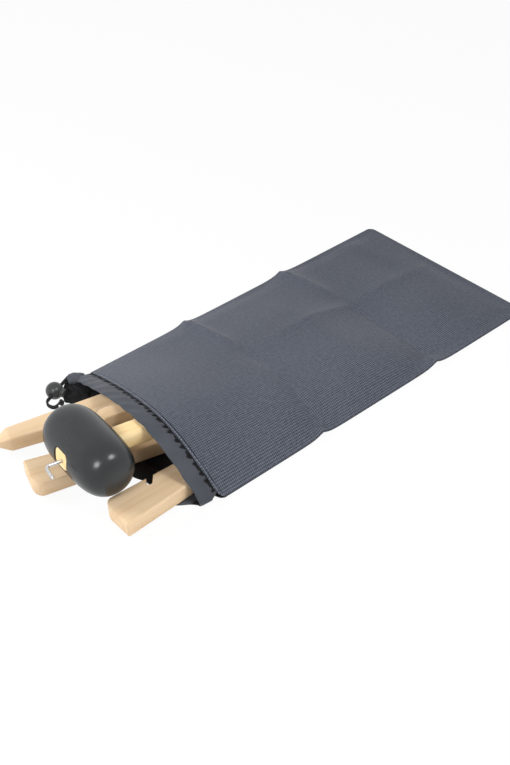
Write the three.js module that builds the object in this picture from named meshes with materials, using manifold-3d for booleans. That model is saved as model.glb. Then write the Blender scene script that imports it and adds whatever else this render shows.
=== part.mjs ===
// A camping set on a table: a rubber mallet and four wooden tent pegs in a flat drawstring bag.
// Millimetres. X runs from the bag's mouth towards its closed end, Y across the bag, Z up.
import * as THREE from 'three';
import { mergeVertices } from 'three/addons/utils/BufferGeometryUtils.js';
import Module from 'manifold-3d';

const wasm = await Module();
wasm.setup();

const degree = Math.PI / 180;

// Clearances
const restGap = 0.3; // between pieces that rest on or pass through each other
const bandGap = 0.5; // between the woven edge of a panel and the band sewn to it
const overrun = 4; // how far a cutter reaches past what it cuts

// Bag panels, woven fabric
const bagLength = 397;
const bagWidth = 220;
const clothThickness = 1.2;
const bagCornerRadius = 8;
const mouthOffset = 2.5; // where the mouth line crosses the middle of the bag
const mouthSlantShare = 0.072; // the mouth line is a little out of square
const mouthBow = 9; // how far the arched edge leans out over the contents
const mouthReach = 18; // how far the lower edge reaches out past the upper one
const leftMouthRamp = 15; // the width beside the left side seam in which that reach builds up
const rightMouthRamp = 25;
const leftArchPower = 1.6;
const rightArchPower = 2.1;
const drapeLength = 100; // from the end of the handle to where the upper panel lies flat
const ridgeEase = 1.5; // how far the stretched cloth stands clear of the handle

// Band round the mouth: a flattened fabric tube with the cord inside
const cordDiameter = 2;
const cordPlay = 0.25;
const bandFabric = 0.4;
const bandWidth = 18;
const upperBandInset = 6; // from the left side seam to the open end of the upper band
const lowerBandInset = 3;
const cornerInset = 6; // from the right side seam to the start of the fold in the band

// Tent pegs, beech
const pegLength = 200;
const pegHeadWidth = 37;
const pegTipWidth = 18;
const pegThickness = 15;
const pegPointLength = 16;
const pegPointBlunt = 2.4;
const pegCornerLength = 9; // of the rounded corner beside the notch, along the peg
const pegCornerWidth = 15; // of that corner, across the peg
const pegCornerCut = 1.5; // of the corner on the other side
const pegEdgeRound = 1.2;
const notchDistance = 48.3; // from the head end to the middle of the notch's mouth
const notchWidth = 6;
const notchDepth = 11;
const notchLean = 40 * degree;

// Mallet
const headDiameter = 54;
const headLength = 94.5;
const headPower = 3.56; // of the superellipse that rounds the faces into the barrel
const handleWidth = 20;
const handleHeight = 17;
const handleCorner = 5;
const handleLength = 295;
const handleRecess = 1; // its front end lies this far inside the head
const handleEndRound = 1.5;
const malletX = -76.5;
const malletY = -23.8;
const malletYaw = -4 * degree;
const hookDiameter = 3;
const hookSeat = 18;
const hookAside = 2; // from the middle of the handle to the wire
const hookReach = 15.5;
const hookBend = 4;
const hookLeg = 13.5;
const hookLean = 75 * degree; // of the leg from straight down

// Cord lock
const lockDiameter = 17;
const lockBore = 9;
const lockBoreWall = 2.5; // between the bore's floor and the far side of the ball
const lockLift = 0.3;
const plungerTravel = 2.5;
const plungerProud = 4;
const plungerWall = 1.5; // behind the plunger's cross slot
const strandPitch = 2.3; // between the centres of the two strands
const strandOffset = 1.5; // from the ball's centre towards the plunger
const strandClearance = 0.3;
const springWire = 0.6;
const springDiameter = 6.4;
const springTurns = 3;
const knotDiameter = 6;
const knotLength = 7.5;

// Where the loose cord lies, chosen by hand
const lockLineX = -33; // the middle of the straight run through the lock
const lockLineY = 102;
const lockYaw = 25.84 * degree; // of the straight run
const knotX = -35.6;
const knotY = 90.4;
const knotYaw = 16 * degree;
const knotProfileShares = [
  [0, 0], [0.62, 0], [0.9, 0.12], [1, 0.28], [0.86, 0.48], [0.98, 0.68], [0.88, 0.88], [0.6, 1], [0, 1],
]; // out from the knot's axis and along it
const upperStrandPoints = [
  [-0.1, 105.35, 5.9], [-0.1, 107.6, 5.2], [-0.1, 110, 5.1], [-0.75, 112.5, 5.4],
  [-2.5, 114.35, 6], [-5, 115, 6.9], [-7.2, 114.5, 7.7], [-10.6, 112.86, 8.9],
  [-14.1, 111.16, 9.7], [-19.5, 108.54, 9.95], [-22.65, 107.01, 9.95], [-33, 102, 9.95],
  [-43.35, 96.99, 9.95], [-46.5, 95.46, 9.9], [-48.3, 93.8, 9.2], [-48.8, 91.8, 8.2],
  [-48.2, 89.85, 7.2], [-46.7, 88.4, 6.2], [-44.8, 87.9, 5.2], [-42, 88.55, 4.4],
  [-39.55, 89.26, 4.2],
];
const lowerStrandPoints = [
  [0.4, 107.3, 1.65], [0.3, 109, 1.65], [-0.1, 110.8, 1.8], [-1.2, 113, 2.4],
  [-3, 114.5, 3.2], [-5.2, 114.95, 4.1], [-7.6, 114.3, 5.1], [-10.6, 112.86, 6.3],
  [-14.1, 111.16, 7.3], [-19.5, 108.54, 7.65], [-22.65, 107.01, 7.65], [-33, 102, 7.65],
  [-43.35, 96.99, 7.65], [-46.5, 95.46, 7.6], [-48.3, 93.8, 6.9], [-48.8, 91.8, 5.9],
  [-48.2, 89.85, 4.9], [-46.7, 88.4, 3.9], [-44.8, 87.9, 2.9], [-42, 88.55, 2.1],
  [-39.55, 89.26, 1.9],
];

// Where the pegs lie: the middle of the head end, and the way the peg points from there
const leftPegX = 74.2;
const leftPegY = 23.1;
const leftPegYaw = 165 * degree;
const underPegX = -118;
const underPegY = 13.3;
const underPegYaw = -17 * degree;
const rightPegX = -90.3;
const rightPegY = -76.3;
const edgePegX = -43.6;
const edgePegY = 14.3;
const edgePegYaw = -9.5 * degree;

// Counts of facets
const panelRows = 24;
const panelColumns = 24;
const archSteps = 36;
const foldSteps = 10;
const lowerSteps = 28;
const cordSides = 8;
const strandSteps = 44;
const headSides = 36;
const headRings = 22;
const ballSides = 24;
const springStepsPerTurn = 8;
const springSides = 5;
const wireSides = 10;
const hookSteps = 26;
const bevelSegments = 2;
const cornerSegments = 5; // of each rounded corner of an outline
const notchSegments = 8;
const domeSegments = 6;

// Heights and lengths that follow
const bagHalfWidth = bagWidth / 2;
const bandHeight = cordDiameter + 2 * (cordPlay + bandFabric);
const panelSeamHeight = clothThickness + restGap; // underside of the upper panel at its seams
const pegRest = bandHeight + restGap; // the pegs lie across the lower band
const malletZ = pegRest + pegThickness + restGap + headDiameter / 2; // the head lies on a peg
const handleFront = headDiameter / 2 - handleRecess;
const handleBack = handleLength - handleFront;
const handleTilt = handleSlope(); // the far end of the handle lies on the lower panel

function handleSlope() {
  const drop = malletZ - panelSeamHeight;
  const reach = Math.hypot(handleBack, handleHeight / 2);
  return Math.asin(drop / reach) - Math.atan2(handleHeight / 2, handleBack);
}

function toGeometry(manifold) {
  const mesh = manifold.getMesh();
  const geometry = new THREE.BufferGeometry();
  geometry.setAttribute('position', new THREE.BufferAttribute(mesh.vertProperties, 3));
  geometry.setIndex(new THREE.BufferAttribute(mesh.triVerts, 1));
  geometry.computeVertexNormals();
  return geometry;
}

function toSolid(geometry) {
  const bare = geometry.clone();
  bare.deleteAttribute('normal');
  bare.deleteAttribute('uv');
  const merged = mergeVertices(bare);
  const vertProperties = new Float32Array(merged.attributes.position.array);
  const triVerts = new Uint32Array(merged.index.array);
  return new wasm.Manifold(new wasm.Mesh({ numProp: 3, vertProperties, triVerts }));
}

function cut(body, ...cutters) {
  const rest = cutters.reduce((left, cutter) => left.subtract(toSolid(cutter)), toSolid(body));
  return toGeometry(rest);
}

// A closed surface from points and triangles, turned so that its faces point out
function closedSurface(points, triangles) {
  let volume = 0;
  for (const [a, b, c] of triangles) {
    volume += points[a].dot(new THREE.Vector3().crossVectors(points[b], points[c]));
  }
  const order = volume > 0 ? [0, 1, 2] : [0, 2, 1];
  const geometry = new THREE.BufferGeometry().setFromPoints(points);
  geometry.setIndex(triangles.flatMap((triangle) => order.map((corner) => triangle[corner])));
  geometry.computeVertexNormals();
  return geometry;
}

// A ring of points carried along stations; a hollow one has a second ring inside the first
function sweep(stations, outerRing, innerRing = null) {
  const place = (station, [across, up]) => station.point.clone()
    .addScaledVector(station.outward, across)
    .addScaledVector(station.normal, up);
  const sides = outerRing.length;
  const last = stations.length - 1;
  const rings = innerRing ? [outerRing, innerRing] : [outerRing];
  const points = stations.flatMap((station) => rings.flatMap((ring) => ring.map((at) => place(station, at))));
  const index = (row, layer, side) => (row * rings.length + layer) * sides + (side % sides);
  const triangles = [];
  const quad = (a, b, c, d) => triangles.push([a, b, c], [a, c, d]);
  for (let side = 0; side < sides; side += 1) {
    const next = side + 1;
    for (let row = 0; row < last; row += 1) {
      quad(index(row, 0, side), index(row, 0, next), index(row + 1, 0, next), index(row + 1, 0, side));
      if (innerRing) {
        quad(index(row, 1, next), index(row, 1, side), index(row + 1, 1, side), index(row + 1, 1, next));
      }
    }
    if (innerRing) {
      quad(index(0, 0, next), index(0, 0, side), index(0, 1, side), index(0, 1, next));
      quad(index(last, 0, side), index(last, 0, next), index(last, 1, next), index(last, 1, side));
    } else if (side > 0 && side < sides - 1) {
      triangles.push([index(0, 0, 0), index(0, 0, next), index(0, 0, side)]);
      triangles.push([index(last, 0, 0), index(last, 0, side), index(last, 0, next)]);
    }
  }
  return closedSurface(points, triangles);
}

function roundSection(diameter, sides) {
  const radius = diameter / 2;
  return new THREE.Shape(Array.from({ length: sides }, (_, side) => {
    const angle = (side + 0.5) / sides * 2 * Math.PI;
    return new THREE.Vector2(radius * Math.cos(angle), radius * Math.sin(angle));
  }));
}

function tubeAlong(route, diameter, sides, steps) {
  return new THREE.ExtrudeGeometry(roundSection(diameter, sides), { steps, extrudePath: route });
}

// The bag's forms

function upperMouthX(y) {
  return mouthOffset + mouthSlantShare * y - mouthBow * archShare(0, y);
}

function lowerMouthX(y) {
  const fromSeam = bagHalfWidth - Math.abs(y);
  const reachShare = y > 0
    ? THREE.MathUtils.smoothstep(fromSeam, lowerBandInset, leftMouthRamp)
    : THREE.MathUtils.smoothstep(fromSeam, cornerInset, rightMouthRamp);
  return mouthOffset + mouthSlantShare * y - mouthReach * reachShare;
}

function closedEndX(y) {
  const intoCorner = Math.max(0, Math.abs(y) - (bagHalfWidth - bagCornerRadius));
  return bagLength - bagCornerRadius + Math.sqrt(bagCornerRadius ** 2 - intoCorner ** 2);
}

function ridgeY(x) {
  return malletY + Math.tan(malletYaw) * (x - malletX);
}

// How far the cloth has risen at a place across the bag: 0 at the seams and 1 over the handle
function archShare(x, y) {
  const middle = ridgeY(x);
  const left = y > middle;
  const share = left ? (y - middle) / (bagHalfWidth - middle) : (middle - y) / (bagHalfWidth + middle);
  return 1 - Math.min(share, 1) ** (left ? leftArchPower : rightArchPower);
}

// Underside of the cloth along its ridge: over the handle, then down to the lower panel
function ridgeHeight(x) {
  const endX = malletX + handleBack * Math.cos(handleTilt) * Math.cos(malletYaw);
  const along = (Math.min(x, endX) - malletX) / Math.cos(malletYaw);
  const handleMiddle = malletZ - along * Math.tan(handleTilt);
  const overHandle = handleMiddle + handleHeight / 2 / Math.cos(handleTilt) + ridgeEase;
  const fallen = THREE.MathUtils.smoothstep(x, endX, endX + drapeLength);
  return THREE.MathUtils.lerp(overHandle, panelSeamHeight, fallen);
}

function clothUnderside(x, y) {
  return panelSeamHeight + (ridgeHeight(x) - panelSeamHeight) * archShare(x, y);
}

function upperPanelGeometry() {
  const columns = Array.from({ length: panelColumns + 1 }, (_, column) => (
    -bagHalfWidth * Math.cos(column / panelColumns * Math.PI)));
  const rows = Array.from({ length: panelRows + 1 }, (_, row) => row / panelRows);
  const points = [];
  for (const share of rows) {
    for (const y of columns) {
      const x = THREE.MathUtils.lerp(upperMouthX(y), closedEndX(y), share);
      const underside = clothUnderside(x, y);
      points.push(new THREE.Vector3(x, y, underside));
      points.push(new THREE.Vector3(x, y, underside + clothThickness));
    }
  }
  const index = (row, column, layer) => (row * (panelColumns + 1) + column) * 2 + layer;
  const triangles = [];
  const quad = (a, b, c, d) => triangles.push([a, b, c], [a, c, d]);
  for (let row = 0; row < panelRows; row += 1) {
    for (let column = 0; column < panelColumns; column += 1) {
      for (const layer of [0, 1]) {
        const corners = [
          index(row, column, layer), index(row + 1, column, layer),
          index(row + 1, column + 1, layer), index(row, column + 1, layer),
        ];
        quad(...(layer === 1 ? corners : corners.reverse()));
      }
    }
    quad(index(row, 0, 0), index(row + 1, 0, 0), index(row + 1, 0, 1), index(row, 0, 1));
    quad(index(row + 1, panelColumns, 0), index(row, panelColumns, 0),
      index(row, panelColumns, 1), index(row + 1, panelColumns, 1));
  }
  for (let column = 0; column < panelColumns; column += 1) {
    quad(index(0, column + 1, 0), index(0, column, 0), index(0, column, 1), index(0, column + 1, 1));
    quad(index(panelRows, column, 0), index(panelRows, column + 1, 0),
      index(panelRows, column + 1, 1), index(panelRows, column, 1));
  }
  return closedSurface(points, triangles);
}

function lowerPanelGeometry() {
  const cornerX = bagLength - bagCornerRadius;
  const cornerY = bagHalfWidth - bagCornerRadius;
  const outline = new THREE.Shape();
  outline.moveTo(lowerMouthX(-bagHalfWidth), -bagHalfWidth);
  outline.lineTo(cornerX, -bagHalfWidth);
  outline.absarc(cornerX, -cornerY, bagCornerRadius, -Math.PI / 2, 0);
  outline.absarc(cornerX, cornerY, bagCornerRadius, 0, Math.PI / 2);
  outline.lineTo(lowerMouthX(bagHalfWidth), bagHalfWidth);
  for (let step = lowerSteps; step >= 0; step -= 1) {
    const { y } = mouthRoute.lowerStation(step / lowerSteps, lowerBandStart).point;
    outline.lineTo(lowerMouthX(y), y);
  }
  return new THREE.ExtrudeGeometry(outline, {
    depth: clothThickness, bevelEnabled: false, curveSegments: cornerSegments,
  });
}

// The way of the band and its cord: over the arch, round the right corner and back underneath.
// Its stations are spread by count, so that they crowd together in both corners.
class MouthRoute extends THREE.Curve {
  constructor() {
    super();
    this.steps = archSteps + foldSteps + lowerSteps;
    this.middle = bandGap + bandWidth / 2; // from the woven edge to the middle of the band
    const turn = this.archStation(1);
    this.turnAngle = Math.atan2(-turn.normal.y, turn.normal.z);
    this.turnPoint = turn.point;
    this.radius = (turn.point.z - bandHeight / 2) / (1 + Math.cos(this.turnAngle));
    this.turnY = turn.point.y + this.radius * Math.sin(this.turnAngle);
  }

  archStation(share) {
    const y = THREE.MathUtils.lerp(bagHalfWidth - upperBandInset, cornerInset - bagHalfWidth, share);
    const x = upperMouthX(y) - this.middle;
    const across = clothUnderside(x, y + bandGap) - clothUnderside(x, y - bandGap);
    const along = clothUnderside(x + bandGap, y) - clothUnderside(x - bandGap, y);
    const normal = new THREE.Vector3(0, -across, 2 * bandGap).normalize();
    const outward = new THREE.Vector3(-1, 0, -along / (2 * bandGap));
    const point = new THREE.Vector3(x, y, clothUnderside(x, y)).addScaledVector(normal, bandHeight / 2);
    return { point, normal, outward };
  }

  foldStation(share) {
    const heading = THREE.MathUtils.lerp(Math.PI + this.turnAngle, 2 * Math.PI, share);
    const normal = new THREE.Vector3(0, Math.sin(heading), -Math.cos(heading));
    const middleZ = this.turnPoint.z - this.radius * Math.cos(this.turnAngle);
    const endX = lowerMouthX(this.turnY) - this.middle;
    const x = THREE.MathUtils.lerp(this.turnPoint.x, endX, THREE.MathUtils.smoothstep(share, 0, 1));
    const point = new THREE.Vector3(x, this.turnY, middleZ).addScaledVector(normal, this.radius);
    const rise = this.archStation(1).outward.z * (1 - share);
    return { point, normal, outward: new THREE.Vector3(-1, 0, rise) };
  }

  lowerStation(share, start = this.turnY) {
    const shareAcross = THREE.MathUtils.smoothstep(share, 0, 1);
    const y = THREE.MathUtils.lerp(start, bagHalfWidth - lowerBandInset, shareAcross);
    const point = new THREE.Vector3(lowerMouthX(y) - this.middle, y, bandHeight / 2);
    return { point, normal: new THREE.Vector3(0, 0, -1), outward: new THREE.Vector3(-1, 0, 0) };
  }

  getPoint(share, target = new THREE.Vector3()) {
    const step = share * this.steps;
    const foldStep = step - archSteps;
    const lowerStep = foldStep - foldSteps;
    if (foldStep < 0) return target.copy(this.archStation(step / archSteps).point);
    if (lowerStep < 0) return target.copy(this.foldStation(foldStep / foldSteps).point);
    return target.copy(this.lowerStation(lowerStep / lowerSteps).point);
  }

  getUtoTmapping(share) {
    return share;
  }
}

const mouthRoute = new MouthRoute();
const lowerBandStart = mouthRoute.turnY + restGap;

// The band's section, thin at its sewn edges and full where the cord runs
const bandRingShares = [[1, 0.3], [0.56, 0.7], [0.22, 1], [-0.22, 1], [-0.56, 0.7], [-1, 0.3]];
const boreRingShares = [[0.68, 0.12], [0.42, 0.7], [0.18, 1], [-0.18, 1], [-0.42, 0.7], [-0.68, 0.12]];

function flatRing(shares, halfWidth, halfHeight) {
  const top = shares.map(([across, up]) => [across * halfWidth, up * halfHeight]);
  return [...top, ...top.map(([across, up]) => [across, -up]).reverse()];
}

function bandGeometry(stations) {
  const outer = flatRing(bandRingShares, bandWidth / 2, bandHeight / 2);
  const bore = flatRing(boreRingShares, bandWidth / 2, bandHeight / 2 - bandFabric);
  return sweep(stations, outer, bore);
}

function upperBandGeometry() {
  const arch = Array.from({ length: archSteps }, (_, step) => mouthRoute.archStation(step / archSteps));
  const fold = Array.from({ length: foldSteps + 1 }, (_, step) => mouthRoute.foldStation(step / foldSteps));
  return bandGeometry([...arch, ...fold]);
}

function lowerBandGeometry() {
  return bandGeometry(Array.from({ length: lowerSteps + 1 }, (_, step) => (
    mouthRoute.lowerStation(step / lowerSteps, lowerBandStart))));
}

// Tent pegs

function pegHalfWidth(distance) {
  return THREE.MathUtils.lerp(pegHeadWidth, pegTipWidth, distance / (pegLength - pegPointLength)) / 2;
}

// The outline from above, with its rounded corner and its notch on the far side, towards +Y
function pegOutline() {
  const half = pegHeadWidth / 2;
  const shoulder = pegLength - pegPointLength;
  const roundedHalf = pegHalfWidth(pegCornerLength);
  const outline = new THREE.Shape();
  outline.moveTo(0, pegCornerCut - half);
  outline.lineTo(pegCornerCut, -pegHalfWidth(pegCornerCut));
  outline.lineTo(shoulder, -pegTipWidth / 2);
  outline.lineTo(pegLength, -pegPointBlunt / 2);
  outline.lineTo(pegLength, pegPointBlunt / 2);
  outline.lineTo(shoulder, pegTipWidth / 2);
  outline.lineTo(pegCornerLength, roundedHalf);
  outline.absellipse(pegCornerLength, roundedHalf - pegCornerWidth, pegCornerLength, pegCornerWidth,
    Math.PI / 2, Math.PI);
  return outline;
}

// The outline from the side: thin at the point, and wide of the plank at the head
function pegProfile() {
  const middle = pegThickness / 2;
  const shoulder = pegLength - pegPointLength;
  return new THREE.Shape([
    new THREE.Vector2(-overrun, -overrun),
    new THREE.Vector2(shoulder, 0),
    new THREE.Vector2(pegLength + overrun, middle - pegPointBlunt / 2),
    new THREE.Vector2(pegLength + overrun, middle + pegPointBlunt / 2),
    new THREE.Vector2(shoulder, pegThickness),
    new THREE.Vector2(-overrun, pegThickness + overrun),
  ]);
}

function notchCutter() {
  const notch = new THREE.Shape();
  notch.moveTo(-notchWidth / 2, overrun);
  notch.lineTo(-notchWidth / 2, notchWidth / 2 - notchDepth);
  notch.absarc(0, notchWidth / 2 - notchDepth, notchWidth / 2, Math.PI, 2 * Math.PI);
  notch.lineTo(notchWidth / 2, overrun);
  const cutter = new THREE.ExtrudeGeometry(notch, {
    depth: pegThickness + 2 * overrun, bevelEnabled: false, curveSegments: notchSegments,
  });
  cutter.translate(0, 0, -overrun);
  cutter.rotateZ(-notchLean);
  return cutter.translate(notchDistance, pegHalfWidth(notchDistance), 0);
}

// A peg lies with the middle of its head end at the origin and its underside at height zero
function pegGeometry(notchSide) {
  const plank = new THREE.ExtrudeGeometry(pegOutline(), {
    depth: pegThickness - 2 * pegEdgeRound,
    bevelThickness: pegEdgeRound,
    bevelSize: pegEdgeRound,
    bevelOffset: -pegEdgeRound,
    bevelSegments,
    curveSegments: cornerSegments,
  });
  plank.translate(0, 0, pegEdgeRound);
  const across = pegHeadWidth + 2 * overrun;
  const profile = new THREE.ExtrudeGeometry(pegProfile(), { depth: across, bevelEnabled: false });
  profile.translate(0, 0, -across / 2);
  profile.rotateX(Math.PI / 2);
  const pointed = toSolid(plank).intersect(toSolid(profile));
  const peg = toGeometry(pointed.subtract(toSolid(notchCutter())));
  if (notchSide > 0) return peg;
  peg.translate(0, 0, -pegThickness / 2);
  peg.rotateX(Math.PI);
  return peg.translate(0, 0, pegThickness / 2);
}

function flatPeg(name, x, y, yaw, notchSide) {
  const peg = new THREE.Mesh(pegGeometry(notchSide), pegWood.clone());
  peg.name = name;
  peg.position.set(x, y, pegRest);
  peg.rotation.z = yaw;
  return peg;
}

// A peg on its long edge, tilted by its own taper so that the edge lies flat
function edgePeg(name, x, y, yaw, notchSide) {
  const taper = Math.atan2(pegHeadWidth / 2 - pegTipWidth / 2, pegLength - pegPointLength);
  const peg = new THREE.Mesh(pegGeometry(notchSide), pegWood.clone());
  peg.name = name;
  peg.rotation.x = Math.PI / 2;
  peg.position.y = pegThickness / 2;
  const tilted = new THREE.Group();
  tilted.rotation.y = taper;
  tilted.position.z = pegHeadWidth / 2 * Math.cos(taper);
  tilted.add(peg);
  const standing = new THREE.Group();
  standing.position.set(x, y, pegRest);
  standing.rotation.z = yaw;
  standing.add(tilted);
  return standing;
}

// Mallet: the handle runs along X through the head, whose barrel lies along Y

function handleBlock(clearance, length, endRound) {
  const halfHeight = handleHeight / 2 + clearance;
  const halfWidth = handleWidth / 2 + clearance;
  const corner = handleCorner + clearance;
  const section = new THREE.Shape();
  section.absarc(halfHeight - corner, halfWidth - corner, corner, 0, Math.PI / 2);
  section.absarc(corner - halfHeight, halfWidth - corner, corner, Math.PI / 2, Math.PI);
  section.absarc(corner - halfHeight, corner - halfWidth, corner, Math.PI, 3 * Math.PI / 2);
  section.absarc(halfHeight - corner, corner - halfWidth, corner, 3 * Math.PI / 2, 2 * Math.PI);
  const block = new THREE.ExtrudeGeometry(section, {
    depth: length - 2 * endRound,
    bevelEnabled: endRound > 0,
    bevelThickness: endRound,
    bevelSize: endRound,
    bevelOffset: -endRound,
    bevelSegments,
    curveSegments: cornerSegments,
  });
  block.translate(0, 0, endRound);
  return block.rotateY(Math.PI / 2);
}

function malletHeadGeometry() {
  const profile = Array.from({ length: headRings + 1 }, (_, ring) => {
    const angle = (ring / headRings - 0.5) * Math.PI;
    const radius = headDiameter / 2 * Math.abs(Math.cos(angle)) ** (2 / headPower);
    const along = headLength / 2 * Math.sign(angle) * Math.abs(Math.sin(angle)) ** (2 / headPower);
    return new THREE.Vector2(ring % headRings === 0 ? 0 : radius, along);
  });
  const barrel = new THREE.LatheGeometry(profile, headSides);
  const hole = handleBlock(restGap, headDiameter + 2 * overrun, 0);
  hole.translate(-headDiameter / 2 - overrun, 0, 0);
  return cut(barrel, hole);
}

function malletHandleGeometry() {
  const stick = handleBlock(0, handleLength, handleEndRound);
  stick.translate(-handleFront, 0, 0);
  const seatRadius = hookDiameter / 2 + restGap;
  const seat = new THREE.CylinderGeometry(seatRadius, seatRadius, hookSeat + restGap + overrun, wireSides);
  seat.rotateZ(Math.PI / 2);
  seat.translate((hookSeat + restGap - overrun) / 2 - handleFront, -hookAside, 0);
  return cut(stick, seat);
}

function malletHookGeometry() {
  const legWay = new THREE.Vector3(0, -Math.sin(hookLean), -Math.cos(hookLean));
  const corner = new THREE.Vector3(-handleFront - hookReach, -hookAside, 0);
  const start = new THREE.Vector3(hookSeat - handleFront, -hookAside, 0);
  const beforeBend = corner.clone().add(new THREE.Vector3(hookBend, 0, 0));
  const afterBend = corner.clone().addScaledVector(legWay, hookBend);
  const route = new THREE.CurvePath();
  route.add(new THREE.LineCurve3(start, beforeBend));
  route.add(new THREE.QuadraticBezierCurve3(beforeBend, corner, afterBend));
  route.add(new THREE.LineCurve3(afterBend, corner.clone().addScaledVector(legWay, hookLeg)));
  return tubeAlong(route, hookDiameter, wireSides, hookSteps);
}

// Cord lock: the strands pass along X, and the plunger comes out towards -Y

const lockRadius = lockDiameter / 2;
const slotHeight = strandPitch + cordDiameter + 2 * strandClearance;
const strandEdge = cordDiameter / 2 + strandClearance;
const slotOuter = -strandOffset - strandEdge; // the ball's edge that the strands are pressed against
const plungerSlotInner = strandEdge - strandOffset;
const plungerBack = plungerSlotInner + plungerWall;
const plungerTip = -lockRadius - plungerProud;
const boreFloor = lockRadius - lockBoreWall;

function acrossSlot(fromY, toY) {
  const slot = new THREE.BoxGeometry(lockDiameter + 2 * overrun, toY - fromY, slotHeight);
  return slot.translate(0, (fromY + toY) / 2, 0);
}

function lockBallGeometry() {
  const ball = new THREE.SphereGeometry(lockRadius, ballSides, ballSides / 2);
  const boreLength = boreFloor + lockRadius + overrun;
  const bore = new THREE.CylinderGeometry(lockBore / 2, lockBore / 2, boreLength, ballSides);
  bore.translate(0, (boreFloor - lockRadius - overrun) / 2, 0);
  return cut(ball, bore, acrossSlot(slotOuter, plungerBack - strandClearance));
}

function lockPlungerGeometry() {
  const radius = lockBore / 2 - restGap;
  const dome = radius / 2; // height of the domed end
  const profile = new THREE.Path();
  profile.moveTo(0, plungerBack);
  profile.lineTo(radius, plungerBack);
  profile.lineTo(radius, plungerTip + dome);
  profile.absellipse(0, plungerTip + dome, radius, dome, 0, -Math.PI / 2, true);
  const points = profile.getPoints(domeSegments).reverse();
  points[0].setX(0); // the curve ends a rounding error away from the axis
  const body = new THREE.LatheGeometry(points, ballSides);
  return cut(body, acrossSlot(slotOuter - plungerTravel, plungerSlotInner));
}

// The spring stands between the plunger and the floor of the bore
function lockSpringGeometry() {
  const from = plungerBack + restGap + springWire / 2;
  const to = boreFloor - restGap - springWire / 2;
  const radius = (springDiameter - springWire) / 2;
  const steps = springTurns * springStepsPerTurn;
  const middles = Array.from({ length: steps + 1 }, (_, step) => {
    const angle = step / springStepsPerTurn * 2 * Math.PI;
    const along = THREE.MathUtils.lerp(from, to, step / steps);
    return new THREE.Vector3(radius * Math.cos(angle), along, radius * Math.sin(angle));
  });
  const stations = middles.map((point) => ({
    point,
    outward: new THREE.Vector3(point.x, 0, point.z).normalize(),
    normal: new THREE.Vector3(0, 1, 0),
  }));
  const ring = Array.from({ length: springSides }, (_, side) => {
    const angle = side / springSides * 2 * Math.PI;
    return [springWire / 2 * Math.cos(angle), springWire / 2 * Math.sin(angle)];
  });
  let leastGap = Infinity;
  middles.forEach((point, step) => {
    middles.slice(step + springStepsPerTurn / 2).forEach((other) => {
      leastGap = Math.min(leastGap, point.distanceTo(other) - springWire);
    });
  });
  console.log(`cord_lock_spring: least gap to itself ${leastGap.toFixed(2)} mm`);
  return sweep(stations, ring);
}

function strandGeometry(points) {
  const route = new THREE.CatmullRomCurve3(points.map((point) => new THREE.Vector3(...point)));
  return tubeAlong(route, cordDiameter, cordSides, strandSteps);
}

// A knot pulled tight in both strands: two rounded turns on one axis
function knotGeometry() {
  const profile = knotProfileShares.map(([out, along]) => (
    new THREE.Vector2(out * knotDiameter / 2, (along - 0.5) * knotLength)));
  return new THREE.LatheGeometry(profile, ballSides / 2).rotateZ(-Math.PI / 2);
}

// Materials

const wovenGrey = new THREE.MeshStandardMaterial({ color: '#646873', roughness: 0.9, metalness: 0 });
const bandGrey = new THREE.MeshStandardMaterial({ color: '#555961', roughness: 0.8, metalness: 0 });
const cordBlack = new THREE.MeshStandardMaterial({ color: '#1e1f22', roughness: 0.85, metalness: 0 });
const lockBlack = new THREE.MeshStandardMaterial({ color: '#3c3d3e', roughness: 0.45, metalness: 0 });
const springSteel = new THREE.MeshStandardMaterial({ color: '#b4b7ba', roughness: 0.3, metalness: 1 });
const rubber = new THREE.MeshStandardMaterial({ color: '#4c4d4e', roughness: 0.5, metalness: 0 });
const handleWood = new THREE.MeshStandardMaterial({ color: '#e2bd85', roughness: 0.6, metalness: 0 });
const pegWood = new THREE.MeshStandardMaterial({ color: '#dcb98c', roughness: 0.65, metalness: 0 });
const zincSteel = new THREE.MeshStandardMaterial({ color: '#c3c5c7', roughness: 0.35, metalness: 1 });

function piece(name, geometry, material) {
  const mesh = new THREE.Mesh(geometry, material.clone());
  mesh.name = name;
  return mesh;
}

function bag() {
  const group = new THREE.Group();
  group.add(piece('bag_upper_panel', upperPanelGeometry(), wovenGrey));
  group.add(piece('bag_lower_panel', lowerPanelGeometry(), wovenGrey));
  group.add(piece('upper_mouth_channel', upperBandGeometry(), bandGrey));
  group.add(piece('lower_mouth_channel', lowerBandGeometry(), bandGrey));
  return group;
}

function cord() {
  const group = new THREE.Group();
  group.add(piece('drawcord', tubeAlong(mouthRoute, cordDiameter, cordSides, mouthRoute.steps), cordBlack));
  group.add(piece('cord_end_upper', strandGeometry(upperStrandPoints), cordBlack));
  group.add(piece('cord_end_lower', strandGeometry(lowerStrandPoints), cordBlack));
  const knot = piece('cord_end_knot', knotGeometry(), cordBlack);
  const strandEnds = (upperStrandPoints.at(-1)[2] + lowerStrandPoints.at(-1)[2]) / 2;
  knot.position.set(knotX, knotY, strandEnds);
  knot.rotation.z = knotYaw;
  group.add(knot);
  return group;
}

function cordLock() {
  const group = new THREE.Group();
  group.add(piece('cord_lock_ball', lockBallGeometry(), lockBlack));
  group.add(piece('cord_lock_plunger', lockPlungerGeometry(), lockBlack));
  group.add(piece('cord_lock_spring', lockSpringGeometry(), springSteel));
  const away = new THREE.Vector2(0, strandOffset).rotateAround(new THREE.Vector2(), lockYaw);
  group.position.set(lockLineX + away.x, lockLineY + away.y, lockRadius + lockLift);
  group.rotation.z = lockYaw;
  return group;
}

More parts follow.
